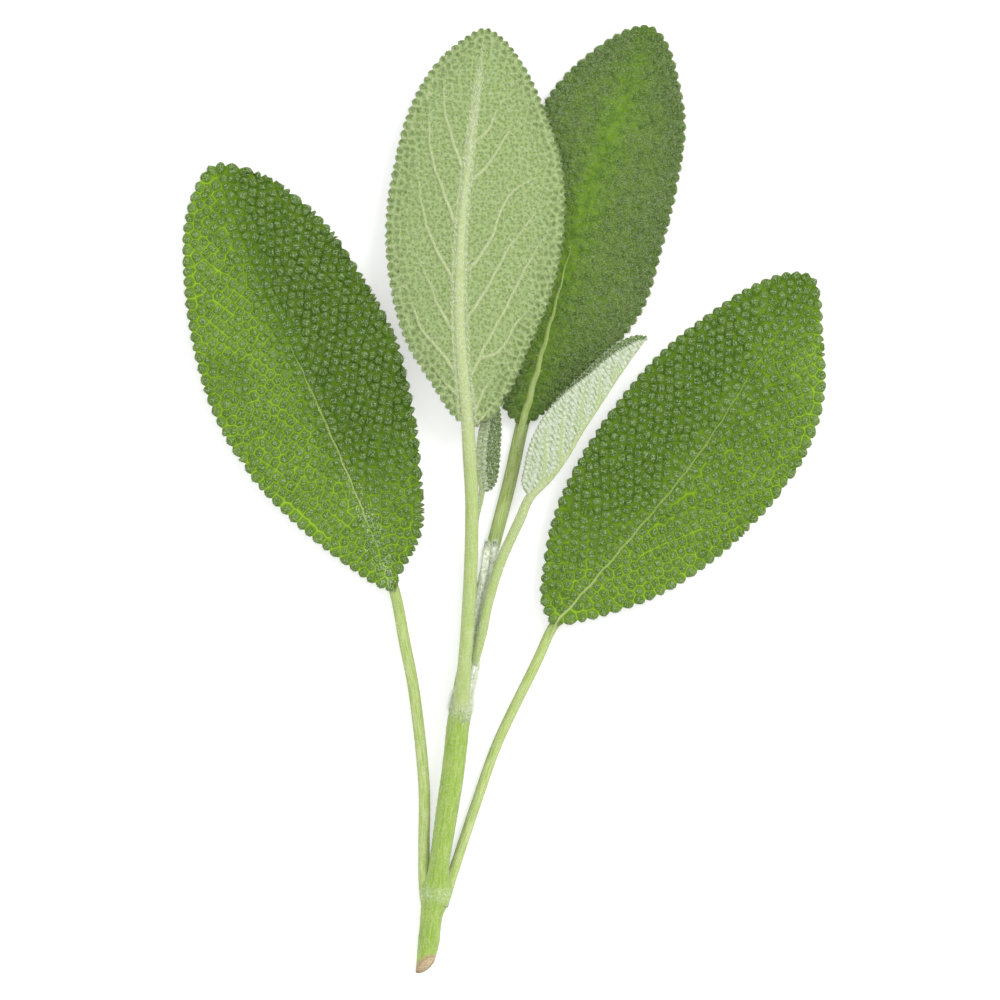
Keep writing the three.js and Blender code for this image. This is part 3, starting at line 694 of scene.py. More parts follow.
def write_points(mesh, points):
    """Sets the vertices, in metres; none of them leaves the sprig's own box."""
    points = np.clip(points, BOX_LOW + BOX_MARGIN, BOX_HIGH - BOX_MARGIN)
    mesh.vertices.foreach_set("co", np.asarray(points, np.float32).ravel())
    mesh.update()


def vertex_cells(mesh):
    """For each vertex, the cell of one of its faces."""
    cells = np.zeros(len(mesh.vertices), np.int32)
    corners = read_all(mesh.loops, "vertex_index", np.int32)
    corner_count = read_all(mesh.polygons, "loop_total", np.int32)
    cells[corners] = np.repeat(read_whole_numbers(mesh, "cell"), corner_count)
    return cells


def triangles_of(mesh):
    """Vertex numbers of the triangles, and the places of their first, second and third corners."""
    mesh.calc_loop_triangles()
    numbers = read_all(mesh.loop_triangles, "vertices", np.int32, width=3)
    return numbers, read_points(mesh)[numbers].transpose(1, 0, 2)


def face_outwards(mesh):
    """Turns the faces of a closed mesh outwards."""
    p, q, r = triangles_of(mesh)[1]
    if np.einsum("ij,ij->i", p, np.cross(q, r)).sum() < 0:
        mesh.flip_normals()


# ------------------------------------------------------------------ blades

def blade_height(leaf, a, c):
    """Height of an open blade's middle surface."""
    share = a / chord_length(leaf)
    across = c - along(leaf["bow"], share)
    slope = np.where(across > 0, leaf["slope_left"], leaf["slope_right"])
    fold = np.hypot(across, FOLD_ROUNDING) - FOLD_ROUNDING
    wave = WAVE_HEIGHT * np.sin(2 * np.pi * (a + WAVE_SHIFT * np.sign(across)) / WAVE_LENGTH)
    outward = np.minimum(np.abs(across) / WAVE_REACH, 1)
    return along(leaf["heights"], share) + slope * fold + wave * outward**2


def on_chord(leaf, a, c, z):
    """Places on the sprig, in mm, of points at a along a leaf, c across it and z above the table."""
    base, ahead, left, _ = chord(leaf)
    flat = base + a[:, None] * ahead + c[:, None] * left
    return np.column_stack([flat, z]) + FOOTPRINT_SHIFT


def vein_strengths(leaf, veins):
    """How plainly each point of the veins shows, the midrib's points first."""
    share = np.linspace(0, 1, len(veins[0]))
    hidden = leaf["rib_hidden"] * smoothstep(0.3, 0.05, share)
    fading = smoothstep(leaf["rib_end"], 0.7 * leaf["rib_end"], share)
    parts = [leaf["rib_strength"] * fading * (1 - hidden)]
    parts += [leaf["side_strength"] * np.linspace(1, 0.3, len(line)) for line in veins[1:]]
    return np.concatenate(parts)


def pull_to_veins(flat, reach, leaf, veins):
    """Moves the rims of the cells onto a vein that is near, and returns how plainly it shows there."""
    vein_points = np.vstack(veins)
    outer = np.flatnonzero(reach > 0.5)
    gap, number = nearest_in_blocks(flat[outer], vein_points)
    pull = VEIN_PULL * smoothstep(0.75, 0.3, gap) * reach[outer]
    flat[outer] += pull[:, None] * (vein_points[number] - flat[outer])
    vein = np.zeros(len(flat))
    vein[outer] = vein_strengths(leaf, veins)[number] * smoothstep(leaf["vein_width"], 0.05, gap)
    return vein


def round_cells(flat, seeds, cells, reach):
    """Makes the cells rounder, the more so the nearer to their middles."""
    away = flat - seeds[cells]
    far = np.linalg.norm(away, axis=1) + TINY
    rim = reach > 0.99
    size = np.bincount(cells[rim], far[rim], len(seeds))
    count = np.bincount(cells[rim], minlength=len(seeds))
    round_far = reach * (size / np.maximum(count, 1))[cells]
    mixed = round_far + (far - round_far) * np.clip(reach, 0, 1)**1.5
    return seeds[cells] + away * (mixed / far)[:, None]


def shape_cells(mesh, leaf, seeds, cells, veins):
    """Rounds the cells and swells the beads on the margin.

    Returns the flat places, how plainly a vein shows there, and 1 on the crests of the beads.
    """
    reach = 1 - read_layer(mesh, "dome")
    flat = read_points(mesh)[:, :2].copy()
    vein = pull_to_veins(flat, reach, leaf, veins)
    flat = round_cells(flat, seeds, cells, reach)
    crest = np.clip(read_layer(mesh, "bulge") / np.maximum(reach, 1e-6), 0, 1)
    swell = np.column_stack([read_layer(mesh, "swell_x"), read_layer(mesh, "swell_y")])
    return flat + swell * (2 - crest)[:, None], vein, crest


def painted_light_at(leaf, across, share):
    """How strongly the face is painted lit, from 0 to about 1: painted light, more on one half, at the ends
    and along the midrib.
    """
    turn = smoothstep(*leaf["net_turn"], across)
    glow = leaf["net_right"] + (leaf["net_left"] - leaf["net_right"]) * turn
    glow += leaf["net_base"] * smoothstep(0.4, 0.1, share)
    glow += leaf["net_tip"] * smoothstep(0.7, 0.95, share)
    return glow + leaf["rib_glow"] * np.exp(-(across / 2.6)**2) * smoothstep(0.95, 0.75, share)


def cell_mesh(name, leaf):
    """The blade's two skins, still flat: the mesh, its places along and across, and its layers."""
    rng = np.random.default_rng(leaf["seed"])
    length = chord_length(leaf)
    outline = blade_outline(leaf)
    veins = [midrib_line(leaf), *side_vein_lines(leaf, outline, rng)]
    seeds, is_ghost = blister_seeds(leaf, outline, veins, rng)
    bm = cell_sheet(seeds, is_ghost, outline, leaf)
    two_skins(bm)
    mesh = mesh_of(bm, name)
    cells = vertex_cells(mesh)
    flat, vein, crest = shape_cells(mesh, leaf, seeds, cells, veins)
    a, c = flat.T
    share = a / length
    across = c - along(leaf["bow"], share)
    silk = np.zeros(len(across))
    if not leaf["face_up"]:
        beside = np.abs(across) - rib_radius(leaf, share)
        silk = smoothstep(0.6, 0.05, beside) * smoothstep(0.98, 0.8, share)
    dome = read_layer(mesh, "dome")
    layers = dict(
        vein=np.maximum(vein, 0.8 * silk),
        tone=rng.uniform(0, 1, len(seeds))[cells],
        glow=painted_light_at(leaf, across, share),
        inland=smoothstep(0.4, 4.0, nearest_in_blocks(flat, outline[::4])[0]),
        edge=crest * (1 - dome),
    )
    for layer, values in layers.items():
        write_layer(mesh, layer, values)
    at = dict(layers, a=a, c=c, across=across, reach=(1 - dome)**(1 + 1.5 * crest), silk=silk,
              net=read_layer(mesh, "net"), skin=read_layer(mesh, "skin"), veins=veins)
    return mesh, at


def open_blade(name, leaf):
    """One blade as a mesh of two blistered skins."""
    mesh, at = cell_mesh(name, leaf)
    crown = BLISTER_RISE * (1 - at["reach"]**2)**0.75 * (0.8 + 0.4 * at["tone"])
    if "face_rib" in leaf:
        thick = leaf["face_rib"][2]
        crown *= smoothstep(0.5 * thick, 2.4 * thick, np.abs(at["across"]))
    if leaf["downy"]:
        crown *= 1 - 0.55 * at["inland"]
    face = BLADE_HALF + crown - FACE_VEIN_SINK * at["vein"] * at["net"]
    coarse = 1 - 0.6 * at["inland"]
    back = -BLADE_HALF + coarse * (BACK_CROWN * crown - BACK_NET_SINK * at["net"])
    back -= BACK_VEIN_SINK * at["vein"] * at["net"]
    up = 1 if leaf["face_up"] else -1
    relief = up * np.where(at["skin"] > 0, face, back)
    height = blade_height(leaf, at["a"], at["c"]) + relief
    write_points(mesh, on_chord(leaf, at["a"], at["c"], height) * MM)
    face_outwards(mesh)
    return mesh, at


def folded_surface(leaf, a, w):
    """Middle surface of a folded blade: distance from the keel, height, and the outside normal."""
    far = np.hypot(w, KEEL_ROUNDING)
    mean = (leaf["slope_left"] + leaf["slope_right"]) / 2
    half = (leaf["slope_left"] - leaf["slope_right"]) / 2
    x = far - KEEL_ROUNDING
    z = along(leaf["heights"], a / chord_length(leaf)) + mean * x + half * w
    run_x, run_z = w / far, mean * w / far + half
    steep = np.hypot(run_x, run_z)
    return x, z, -run_z / steep, run_x / steep


def folded_blade(name, leaf):
    """A blade folded along its keel, pale underside outwards."""
    mesh, at = cell_mesh(name, leaf)
    a, w = at["a"], at["c"]
    x, z, out_x, out_z = folded_surface(leaf, a, w)
    ridge = FOLDED_RELIEF * (1 - at["reach"]**2) + FOLDED_RELIEF * at["vein"] * at["reach"]
    opening = leaf["slope_left"] - leaf["slope_right"]
    inner = -np.minimum(FOLDED_HALF, 0.3 * opening * (x + KEEL_ROUNDING))
    offset = np.where(at["skin"] > 0, FOLDED_HALF - FOLDED_SINK + ridge, inner)
    keel = along(leaf["keel"], a / chord_length(leaf))
    c = keel + leaf["open_side"] * (x + out_x * offset)
    write_points(mesh, on_chord(leaf, a, c, z + out_z * offset) * MM)
    write_layer(mesh, "ahead", a)
    write_layer(mesh, "aside", w)
    face_outwards(mesh)
    return mesh, at


# ------------------------------------------------------------------ tubes

def smooth_line(corners, steps):
    """Points at even steps of a smooth line through the corners, and how far each lies along it."""
    corners = np.asarray(corners, float)
    fine = np.linspace(0, 1, 40 * len(corners))
    dense = np.column_stack([along(corners[:, k], fine) for k in range(corners.shape[1])])
    run = run_along(dense[:, :3])
    stops = np.linspace(0, run[-1], steps + 1)
    return at_stops(dense, run, stops), stops


def tube(bm, beads, steps, sides=TUBE_SIDES, lobes=0.0, first_run=0.0):
    """Oval tube through beads of x, y, z, half-width and half-height, closed at both ends.

    Lobes make it squarish. The layers run and turn say how far along it a vertex is, in mm, and
    how far round it, from 0 to 1.
    """
    line, run = smooth_line(beads, steps)
    run_layer, turn_layer = float_layers(bm, "run", "turn")
    sheet = bmesh.ops.create_grid(bm, x_segments=steps, y_segments=sides, size=1)["verts"]
    ahead = np.gradient(line[:, :3], axis=0)
    ahead /= lengths(ahead)
    sideways = np.column_stack([ahead[:, 1], -ahead[:, 0], np.zeros(len(line))])
    sideways /= lengths(sideways)
    upwards = np.cross(sideways, ahead)
    for vertex in sheet:
        i = round((vertex.co.x + 1) / 2 * steps)
        k = round((vertex.co.y + 1) / 2 * sides)
        angle = 2 * math.pi * k / sides
        swell = 1 + lobes * math.cos(4 * angle)
        place = line[i, :3] + swell * (line[i, 3] * math.cos(angle) * sideways[i]
                                       + line[i, 4] * math.sin(angle) * upwards[i])
        vertex[run_layer] = first_run + run[i]
        vertex[turn_layer] = k / sides
        vertex.co = place + FOOTPRINT_SHIFT
    faces = once_each(face for vertex in sheet for face in vertex.link_faces)
    bmesh.ops.remove_doubles(bm, verts=sheet, dist=SAME_PLACE)
    sheet = once_each(vertex for face in faces if face.is_valid for vertex in face.verts)
    ends = once_each(edge for vertex in sheet for edge in vertex.link_edges if edge.is_boundary)
    caps = bmesh.ops.holes_fill(bm, edges=ends, sides=0)["faces"]
    caps = bmesh.ops.poke(bm, faces=caps)["faces"]
    bmesh.ops.recalc_face_normals(bm, faces=[face for face in faces if face.is_valid] + caps)


def round_beads(places, radii, flatness=1.0):
    """Beads of a tube that is as wide as the radii, and as high as their flatness says."""
    return [(*place, radius, flatness * radius) for place, radius in zip(places, radii)]


def stalk_length(leaf):
    """Length of a leaf's stalk, from its node to the blade."""
    return float(np.linalg.norm(np.diff(np.array(leaf["stalk"]), axis=0), axis=1).sum())


def vein_ridge(bm, leaf, line, side):
    """A side vein standing out on one side of an open blade, with both ends sunk into it."""
    thick, sunk = (0.22, -0.1) if leaf["face_up"] else (0.28, 0.6)
    line = line[::RIDGE_STEP].copy()
    line[:, 1] += 0.07 * np.sin(WIGGLE_TURN * np.arange(len(line)) + line[0, 0])
    radius = np.linspace(thick, RIDGE_TIP, len(line))
    height = blade_height(leaf, line[:, 0], line[:, 1]) + side * (BLADE_HALF + 0.04 - sunk * radius)
    height[0] -= 0.3
    height[-3:] -= [0.04, 0.12, 0.28]
    places = on_chord(leaf, line[:, 0], line[:, 1], height) - FOOTPRINT_SHIFT
    tube(bm, round_beads(places, radius), steps=2 * len(line), sides=8, first_run=20)


def face_rib(bm, leaf):
    """The midrib where it shows on a blade's upper face; it rises out of the stalk or the blade."""
    first, last, thick, thin = leaf["face_rib"]
    length = chord_length(leaf)
    a = np.arange(max(first * length, 0.6), last * length, 1.3)
    c = along(leaf["bow"], a / length) + 0.1 * np.sin(WIGGLE_TURN * np.arange(len(a)))
    radius = np.linspace(thick, thin, len(a))
    height = blade_height(leaf, a, c) + BLADE_HALF + 0.06 - 0.4 * radius
    height[-3:] -= [0.03, 0.08, 0.25]
    height[0] -= 0.25 if first else 0
    beads = round_beads(on_chord(leaf, a, c, height) - FOOTPRINT_SHIFT, radius, flatness=0.8)
    if not first:
        beads.insert(0, (*leaf["stalk"][-1], thick, 0.8 * thick))
    tube(bm, beads, steps=3 * len(beads), sides=10, first_run=-6)


def rib_radius(leaf, share):
    """Half-width of an open leaf's midrib."""
    stations, sizes = (0, 0.1, 0.38, 0.64, 0.82, 0.97), (0.96, 0.9, 0.74, 0.5, 0.25, 0.12)
    return leaf["stalk_radius"] * np.interp(share, stations, sizes)


def leaf_rib(leaf, veins):
    """Stalk, the midrib that it runs into, and the side veins, all on the blade's underside."""
    bm = bmesh.new()
    shares = np.linspace(0, 0.97, 13)
    a = shares * chord_length(leaf)
    c = along(leaf["bow"], shares)
    radius = rib_radius(leaf, shares)
    if leaf["face_up"]:
        underside, sunk, flatness = -1, 0.92 * radius, 1.0
    else:
        underside, sunk, flatness = 1, BLADE_HALF - 0.2 * radius, 0.6
    rib = on_chord(leaf, a, c, blade_height(leaf, a, c) + underside * sunk) - FOOTPRINT_SHIFT
    swelling = np.array([1.25, 1.22, 1.1] + [1.0] * (len(leaf["stalk"]) - 3))
    beads = round_beads(leaf["stalk"], leaf["stalk_radius"] * swelling)
    tube(bm, beads + round_beads(rib, radius, flatness), steps=90, first_run=-stalk_length(leaf))
    for line in veins[1:]:
        vein_ridge(bm, leaf, line, underside)
    if "face_rib" in leaf:
        face_rib(bm, leaf)
    return bm


def keel_rib(leaf):
    """Stalk of a folded leaf, and the keel that it runs into."""
    bm = bmesh.new()
    r = leaf["stalk_radius"]
    shares = np.linspace(0, 0.97, 8)
    a = shares * chord_length(leaf)
    z = along(leaf["heights"], shares)
    rib = on_chord(leaf, a, along(leaf["keel"], shares), z) - FOOTPRINT_SHIFT
    radius = np.interp(shares, [0, 0.2, 0.6, 1], [0.9 * r, 0.65 * r, 0.4 * r, 0.12])
    beads = round_beads(leaf["stalk"], [0.5 * r, 0.85 * r] + [r] * (len(leaf["stalk"]) - 2))
    tube(bm, beads + round_beads(rib, radius), steps=70, first_run=-stalk_length(leaf))
    return bm


def stem_solid():
    """The stem with its two nodes; its lower end is cut slantwise, and the cut is material 1."""
    bm = bmesh.new()
    tube(bm, STEM, steps=150, sides=24, lobes=0.035)
    run = bm.verts.layers.float["run"]
    middle = np.array(STEM[0][:3]) + FOOTPRINT_SHIFT
    for face in bm.faces:
        if all(vertex[run] < SAME_PLACE for vertex in face.verts):
            face.material_index = 1
    for vertex in bm.verts:
        fade = max(0.0, 1 - vertex[run] / CUT_REACH)
        x, z = vertex.co.x - middle[0], vertex.co.z - middle[2]
        vertex.co.y += fade * (CUT_LEAN * x + CUT_RISE * z)
    return bm


def shoot_tip_solid():
    """The lobes of the closed shoot tip."""
    bm = bmesh.new()
    for beads in SHOOT_TIP:
        tube(bm, [(*bead, bead[-1]) for bead in beads], steps=60, sides=12)
    return bm


# ------------------------------------------------------------------ hairs

def hair_template(count):
    """So many little cones in one bmesh, each vertex knowing its hair and its part in it."""
    bm = bmesh.new()
    bm.verts.layers.int.new("hair")
    bm.verts.layers.int.new("part")
    bmesh.ops.create_cone(bm, cap_ends=True, segments=HAIR_SIDES, radius1=1, radius2=0, depth=1)
    hair, part = bm.verts.layers.int["hair"], bm.verts.layers.int["part"]
    for number, vertex in enumerate(bm.verts):
        vertex[part] = number
    made = 1
    while made < count:
        copies = bmesh.ops.duplicate(bm, geom=bm.verts[:] + bm.edges[:] + bm.faces[:])["geom"]
        for vertex in only(bmesh.types.BMVert, copies):
            vertex[hair] += made
        made *= 2
    bmesh.ops.delete(bm, geom=[v for v in bm.verts if v[hair] >= count], context="VERTS")
    return bm


def hairs_mesh(name, roots, ahead, length, width):
    """Straight tapered hairs from their roots, directions, lengths and half-widths."""
    tips = roots + ahead * length[:, None]
    kept = ((tips > BOX_LOW / MM) & (tips < BOX_HIGH / MM)).all(1)
    roots, ahead, length = roots[kept], ahead[kept], length[kept]
    mesh = mesh_of(hair_template(len(roots)), name)
    hair = read_whole_numbers(mesh, "hair")
    local = read_points(mesh)
    side = np.cross(ahead, NO_HAIRS_WAY)
    side /= lengths(side)
    other = np.cross(ahead, side)
    rise = (local[:, 2] + 0.5)[:, None] * (ahead * length[:, None])[hair]
    spread_out = width * (local[:, :1] * side[hair] + local[:, 1:2] * other[hair])
    write_points(mesh, (roots[hair] + rise + spread_out) * MM)
    mesh.attributes.remove(mesh.attributes["part"])
    face_outwards(mesh)
    return mesh


def scatter(mesh, weight, count, rng):
    """Random places on a mesh in mm, and the outward directions there."""
    numbers, corners = triangles_of(mesh)
    p, q, r = corners / MM
    square = np.cross(q - p, r - p)
    area = lengths(square) + 1e-12
    chance = area[:, 0] * weight[numbers].mean(1)
    picked = rng.choice(len(numbers), count, p=chance / chance.sum())
    u, v = rng.random((2, count, 1))
    beyond = u + v > 1
    u, v = np.where(beyond, 1 - u, u), np.where(beyond, 1 - v, v)
    place = p[picked] + u * (q - p)[picked] + v * (r - p)[picked]
    return place, (square / area)[picked]


def hairs_on(name, mesh, weight, rng, count, lift, mess, length, width, lay=(0, 0, 0)):
    """Hairs on a mesh: lift stands them up, lay bends them one way, mess turns them at random."""
    roots, outward = scatter(mesh, weight, count, rng)
    ahead = unit(lift * outward + np.array(lay, float) + mess * rng.normal(size=roots.shape))
    below = (ahead * outward).sum(1) < 0.1
    ahead[below] = unit(ahead[below] + 0.5 * outward[below])
    return hairs_mesh(name, roots - HAIR_ROOT * outward, ahead, rng.uniform(*length, count), width)


# ------------------------------------------------------------------ finishes

# A noise scale says about how many blobs go into a metre; bump depths are in metres, runs in mm.

def linear(red, green, blue):
    """A colour as it looks under the studio's light, 0 to 255, as the linear one of the surface."""
    def one(value):
        value /= 255
        return (value / 12.92 if value <= 0.04045 else ((value + 0.055) / 1.055)**2.4) / STUDIO_LIGHT
    return (one(red), one(green), one(blue), 1.0)


class Finish:
    """A node material under construction; its shade is the colour painted so far."""

    def __init__(self, name, roughness=0.6, **sockets):
        self.material = bpy.data.materials.new(name)
        self.material.use_nodes = True
        self.nodes = self.material.node_tree.nodes
        self.links = self.material.node_tree.links
        self.shader = self.nodes["Principled BSDF"]
        self.shade = None
        self.shader.inputs["Roughness"].default_value = roughness
        for socket, value in sockets.items():
            self.shader.inputs[socket.replace("_", " ")].default_value = value

    def add(self, kind, values=(), **settings):
        node = self.nodes.new(kind)
        for key, value in settings.items():
            setattr(node, key, value)
        for key, value in dict(values).items():
            if isinstance(value, bpy.types.NodeSocket):
                self.links.new(value, node.inputs[key])
            else:
                node.inputs[key].default_value = value
        return node

    def layer(self, name):
        return self.add("ShaderNodeAttribute", attribute_name=name).outputs["Fac"]

    def here(self):
        return self.add("ShaderNodeTexCoord").outputs["Object"]

    def math(self, operation, a, b=0.0, clamp=False):
        node = self.add("ShaderNodeMath", {0: a, 1: b}, operation=operation, use_clamp=clamp)
        return node.outputs[0]

    def times(self, a, b, clamp=False):
        return self.math("MULTIPLY", a, b, clamp)

    def plus(self, a, b):
        return self.math("ADD", a, b)

    def minus(self, a, b):
        return self.math("SUBTRACT", a, b)

    def step(self, value, low, high):
        """0 below low, 1 above high, smooth between; the other way round where high is the lower."""
        values = {"Value": value, "From Min": low, "From Max": high}
        node = self.add("ShaderNodeMapRange", values, interpolation_type="SMOOTHSTEP")
        return node.outputs["Result"]

    def mix(self, factor, a, b):
        node = self.add("ShaderNodeMix", {0: factor, 6: a, 7: b}, data_type="RGBA")
        return node.outputs[2]

    def noise(self, vector, scale, detail=2.0, rough=0.5):
        values = {"Vector": vector, "Scale": scale, "Detail": detail, "Roughness": rough}
        return self.add("ShaderNodeTexNoise", values).outputs["Fac"]

    def paint(self, mask, colour, strength=1.0):
        """Lays a colour over the shade so far where the mask is 1."""
        factor = mask if strength == 1 else self.times(mask, strength)
        self.shade = self.mix(factor, self.shade, colour)

    def bump(self, relief, depth):
        node = self.add("ShaderNodeBump", {"Height": relief, "Distance": depth})
        self.links.new(node.outputs["Normal"], self.shader.inputs["Normal"])

    def done(self):
        self.links.new(self.shade, self.shader.inputs["Base Color"])
        return self.material


def face_colours(f, glow, light, lit_valley):
    """Colours of the valleys and of the domes of a blistered face, painted lit where glow is high and shaded
    where it is low.
    """
    # painted shade and light: the valleys between the domes are painted dark, and bright where lit_valley
    # says
    dark_valley = f.mix(glow, linear(56, 86, 12), linear(100, 146, 16))
    bright_valley = f.mix(glow, linear(90, 124, 17), linear(134, 180, 24))
    # painted light: lit and shaded copies of the dome colour
    shaded_dome = f.mix(light, linear(58, 88, 22), linear(102, 130, 58))
    lit_dome = f.mix(light, linear(74, 110, 22), linear(122, 155, 64))
    return f.mix(lit_valley, dark_valley, bright_valley), f.mix(glow, shaded_dome, lit_dome)


def hairy_rim(f, hazy):
    """Where the beads of the margin are grey with hairs."""
    return f.times(f.step(f.layer("edge"), 0.35, 0.9), f.step(hazy, 0.3, 0.6))


def face_finish():
    """Blistered upper face: grey-green domes frosted with hairs, in a yellow-green net; glow paints it lit or
    shaded.
    """
    f = Finish("sage_leaf_face", roughness=0.75, Sheen_Weight=0.01, Specular_IOR_Level=0.06)
    here = f.here()
    net, vein, tone, glow = (f.layer(name) for name in ("net", "vein", "tone", "glow"))
    broad = f.noise(here, 140, detail=3)
    middling = f.noise(here, 950)
    hazy = f.noise(here, 2600, detail=3, rough=0.6)
    specks = f.noise(here, 5600)
    patchy = f.plus(f.times(f.step(broad, 0.3, 0.6), 0.35), 0.65)
    # painted light: glow, broken into patches, says where the face is painted lit
    glow = f.times(glow, patchy, clamp=True)
    light = f.plus(f.times(tone, 0.4), f.times(f.step(hazy, 0.35, 0.65), 0.6))
    valley, dome = face_colours(f, glow, light, f.step(middling, 0.36, 0.6))
    cover = f.plus(f.minus(1.0, net), f.times(hazy, 0.8))
    f.shade = f.mix(f.step(cover, 0.4, 0.78), valley, dome)
    frost = f.times(f.step(specks, 0.52, 0.59), f.step(net, 0.9, 0.45))
    f.paint(frost, linear(170, 190, 152), 0.62)
    # painted light: the net is painted bright yellow-green where the face is painted lit
    lit_net = f.times(f.step(net, 0.88, 1.0), f.step(glow, 0.3, 1.1))
    f.paint(lit_net, linear(172, 206, 78))
    f.paint(f.step(vein, 0.42, 0.78), linear(182, 202, 108))
    f.paint(hairy_rim(f, hazy), linear(146, 162, 126), 0.6)
    f.bump(f.plus(hazy, specks), 0.0001)
    return f.done()


def downy_face_finish():
    """Upper face of the leaf behind: fine hairs hide its blisters, all but those of the margin."""
    f = Finish("sage_downy_face", roughness=0.75, Sheen_Weight=0.06, Specular_IOR_Level=0.14)
    here = f.here()
    net, tone, glow, inland = (f.layer(name) for name in ("net", "tone", "glow", "inland"))
    broad = f.noise(here, 110, detail=3)
    middling = f.noise(here, 950)
    hazy = f.noise(here, 2900, detail=3, rough=0.7)
    specks = f.noise(here, 4300, detail=3, rough=0.7)
    patchy = f.plus(0.4, f.times(f.step(broad, 0.3, 0.65), 0.4))
    # painted light: glow, broken into patches, says where the face is painted lit
    glow = f.times(glow, patchy, clamp=True)
    light = f.plus(f.times(tone, 0.25), f.times(f.step(hazy, 0.4, 0.62), 0.75))
    valley, dome = face_colours(f, glow, light, f.step(middling, 0.36, 0.6))
    plain = f.times(f.minus(1.0, net), f.minus(1.0, f.times(inland, 0.85)))
    cover = f.plus(plain, f.times(hazy, 1.3))
    f.shade = f.mix(f.step(cover, 0.58, 0.88), valley, dome)
    hairs = f.times(f.step(specks, 0.51, 0.57), f.minus(0.4, f.times(glow, 0.3)))
    f.paint(hairs, linear(156, 178, 124))
    f.paint(hairy_rim(f, hazy), linear(156, 168, 130), 0.6)
    f.bump(f.plus(hazy, specks), 0.00014)
    return f.done()


def felt_pits(f):
    """Fine dimples of a felted surface, 1 between them and 0 in their middles."""
    values = {"Vector": f.here(), "Scale": 1 / FELT_PITCH, "Randomness": 0.85}
    cells = f.add("ShaderNodeTexVoronoi", values, voronoi_dimensions="2D")
    return f.step(cells.outputs["Distance"], 0.12, 0.5)


def underside_finish():
    """Pale felted underside: fine dimples, soft veins, and painted shade in the pits, darkest near the
    margin.
    """
    f = Finish("sage_leaf_underside", roughness=0.85, Sheen_Weight=0.2, Specular_IOR_Level=0.2)
    here = f.here()
    dome, net, vein, inland, edge = (f.layer(name) for name in ("dome", "net", "vein", "inland", "edge"))
    broad = f.noise(here, 160, detail=3)
    hazy = f.noise(here, 1800, detail=3, rough=0.6)
    felt = f.noise(here, 6000)
    between = felt_pits(f)
    green = f.mix(broad, linear(124, 152, 74), linear(140, 165, 94))
    f.shade = f.mix(between, green, f.mix(hazy, linear(144, 171, 92), linear(175, 193, 134)))
    near_margin = f.minus(1.0, inland)
    # painted shade: the dents of the blisters are painted darker green, the more so near the margin
    pit_shade = f.times(f.step(dome, 0.35, 0.85), f.plus(0.2, f.times(near_margin, 0.6)))
    f.paint(pit_shade, linear(112, 144, 72))
    lines = f.times(f.step(net, 0.75, 0.98), f.times(near_margin, 0.6))
    f.paint(lines, linear(184, 202, 138))
    f.paint(f.step(vein, 0.08, 0.6), linear(192, 208, 146), 0.75)
    f.paint(f.step(felt, 0.5, 0.66), linear(204, 212, 188), 0.52)
    f.paint(f.step(edge, 0.4, 0.9), linear(170, 192, 142), 0.5)
    f.bump(f.plus(between, f.times(felt, 0.6)), 0.00006)
    return f.done()


def streaks(f, turns):
    """Fine lines that run along a tube, so many round it."""
    values = {"X": f.times(f.layer("run"), 0.12), "Y": f.times(f.layer("turn"), turns)}
    place = f.add("ShaderNodeCombineXYZ", values)
    return f.noise(place.outputs[0], 3.0, detail=4, rough=0.6)


def green_skin(name, dark, pale):
    """Plant skin with streaks along it and a bloom of short white hairs, still to be finished."""
    f = Finish(name, roughness=0.6, Sheen_Weight=0.2, Specular_IOR_Level=0.25)
    streak = streaks(f, 12.0)
    bloom = f.noise(f.here(), 4200, detail=3, rough=0.6)
    f.shade = f.mix(f.step(streak, 0.36, 0.62), dark, pale)
    f.paint(f.step(bloom, 0.5, 0.66), linear(212, 222, 186), 0.45)
    f.bump(f.plus(streak, bloom), 0.0001)
    return f


def stalk_finish():
    """Stalk with greener flanks; the rib that it turns into on a face is a little greener too."""
    f = green_skin("sage_stalk_skin", linear(163, 194, 72), linear(212, 227, 154))
    flank = f.math("ABSOLUTE", f.math("SINE", f.times(f.layer("turn"), 2 * math.pi)))
    f.paint(f.step(flank, 0.75, 0.25), linear(160, 192, 74))
    f.paint(f.step(f.layer("run"), -2.0, 19.0), linear(160, 190, 88))
    return f.done()


def ridge_finish():
    """A green stalk that turns into the pale silky midrib and veins of an underside."""
    f = green_skin("sage_vein_ridge", linear(172, 198, 104), linear(194, 212, 136))
    silk = f.noise(f.here(), 3600)
    pale = f.mix(f.step(silk, 0.4, 0.65), linear(188, 206, 134), linear(208, 220, 172))
    f.paint(f.step(f.layer("run"), -8.0, 8.0), pale)
    return f.done()


def stem_finish():
    """The stem's skin: downy round its two nodes, woolly past the second and dry at the cut."""
    f = green_skin("sage_stem_skin", linear(142, 182, 42), linear(176, 204, 96))
    run = f.layer("run")
    down = f.noise(f.here(), 3000, detail=3, rough=0.7)
    near = [f.step(f.math("ABSOLUTE", f.minus(run, node)), 1.5, 0.3) for node in (FIRST_NODE, SECOND_NODE)]
    f.paint(f.times(f.plus(*near), f.step(down, 0.4, 0.6)), WOOL_WHITE, 0.2)
    wool = f.mix(f.step(streaks(f, 8.0), 0.36, 0.56), linear(206, 224, 160), WOOL_WHITE)
    f.paint(f.step(run, SECOND_NODE + 0.2, SECOND_NODE + 2.2), wool)
    dry = f.step(f.plus(run, f.times(down, 1.4)), 1.7, 0.9)
    f.paint(dry, f.mix(down, linear(150, 120, 72), linear(220, 198, 150)))
    return f.done()


def cut_finish():
    """Dry cut end: tan pith with pale and brown fibre ends."""
    f = Finish("sage_cut_end", roughness=0.85, Specular_IOR_Level=0.2)
    here = f.here()
    fibre = f.noise(here, 3400, detail=3, rough=0.7)
    fine = f.noise(here, 7000)
    f.shade = f.mix(f.step(fibre, 0.36, 0.6), linear(204, 168, 112), linear(244, 226, 190))
    f.paint(f.step(fine, 0.62, 0.7), linear(150, 112, 66))
    f.bump(fibre, 0.0003)
    return f.done()


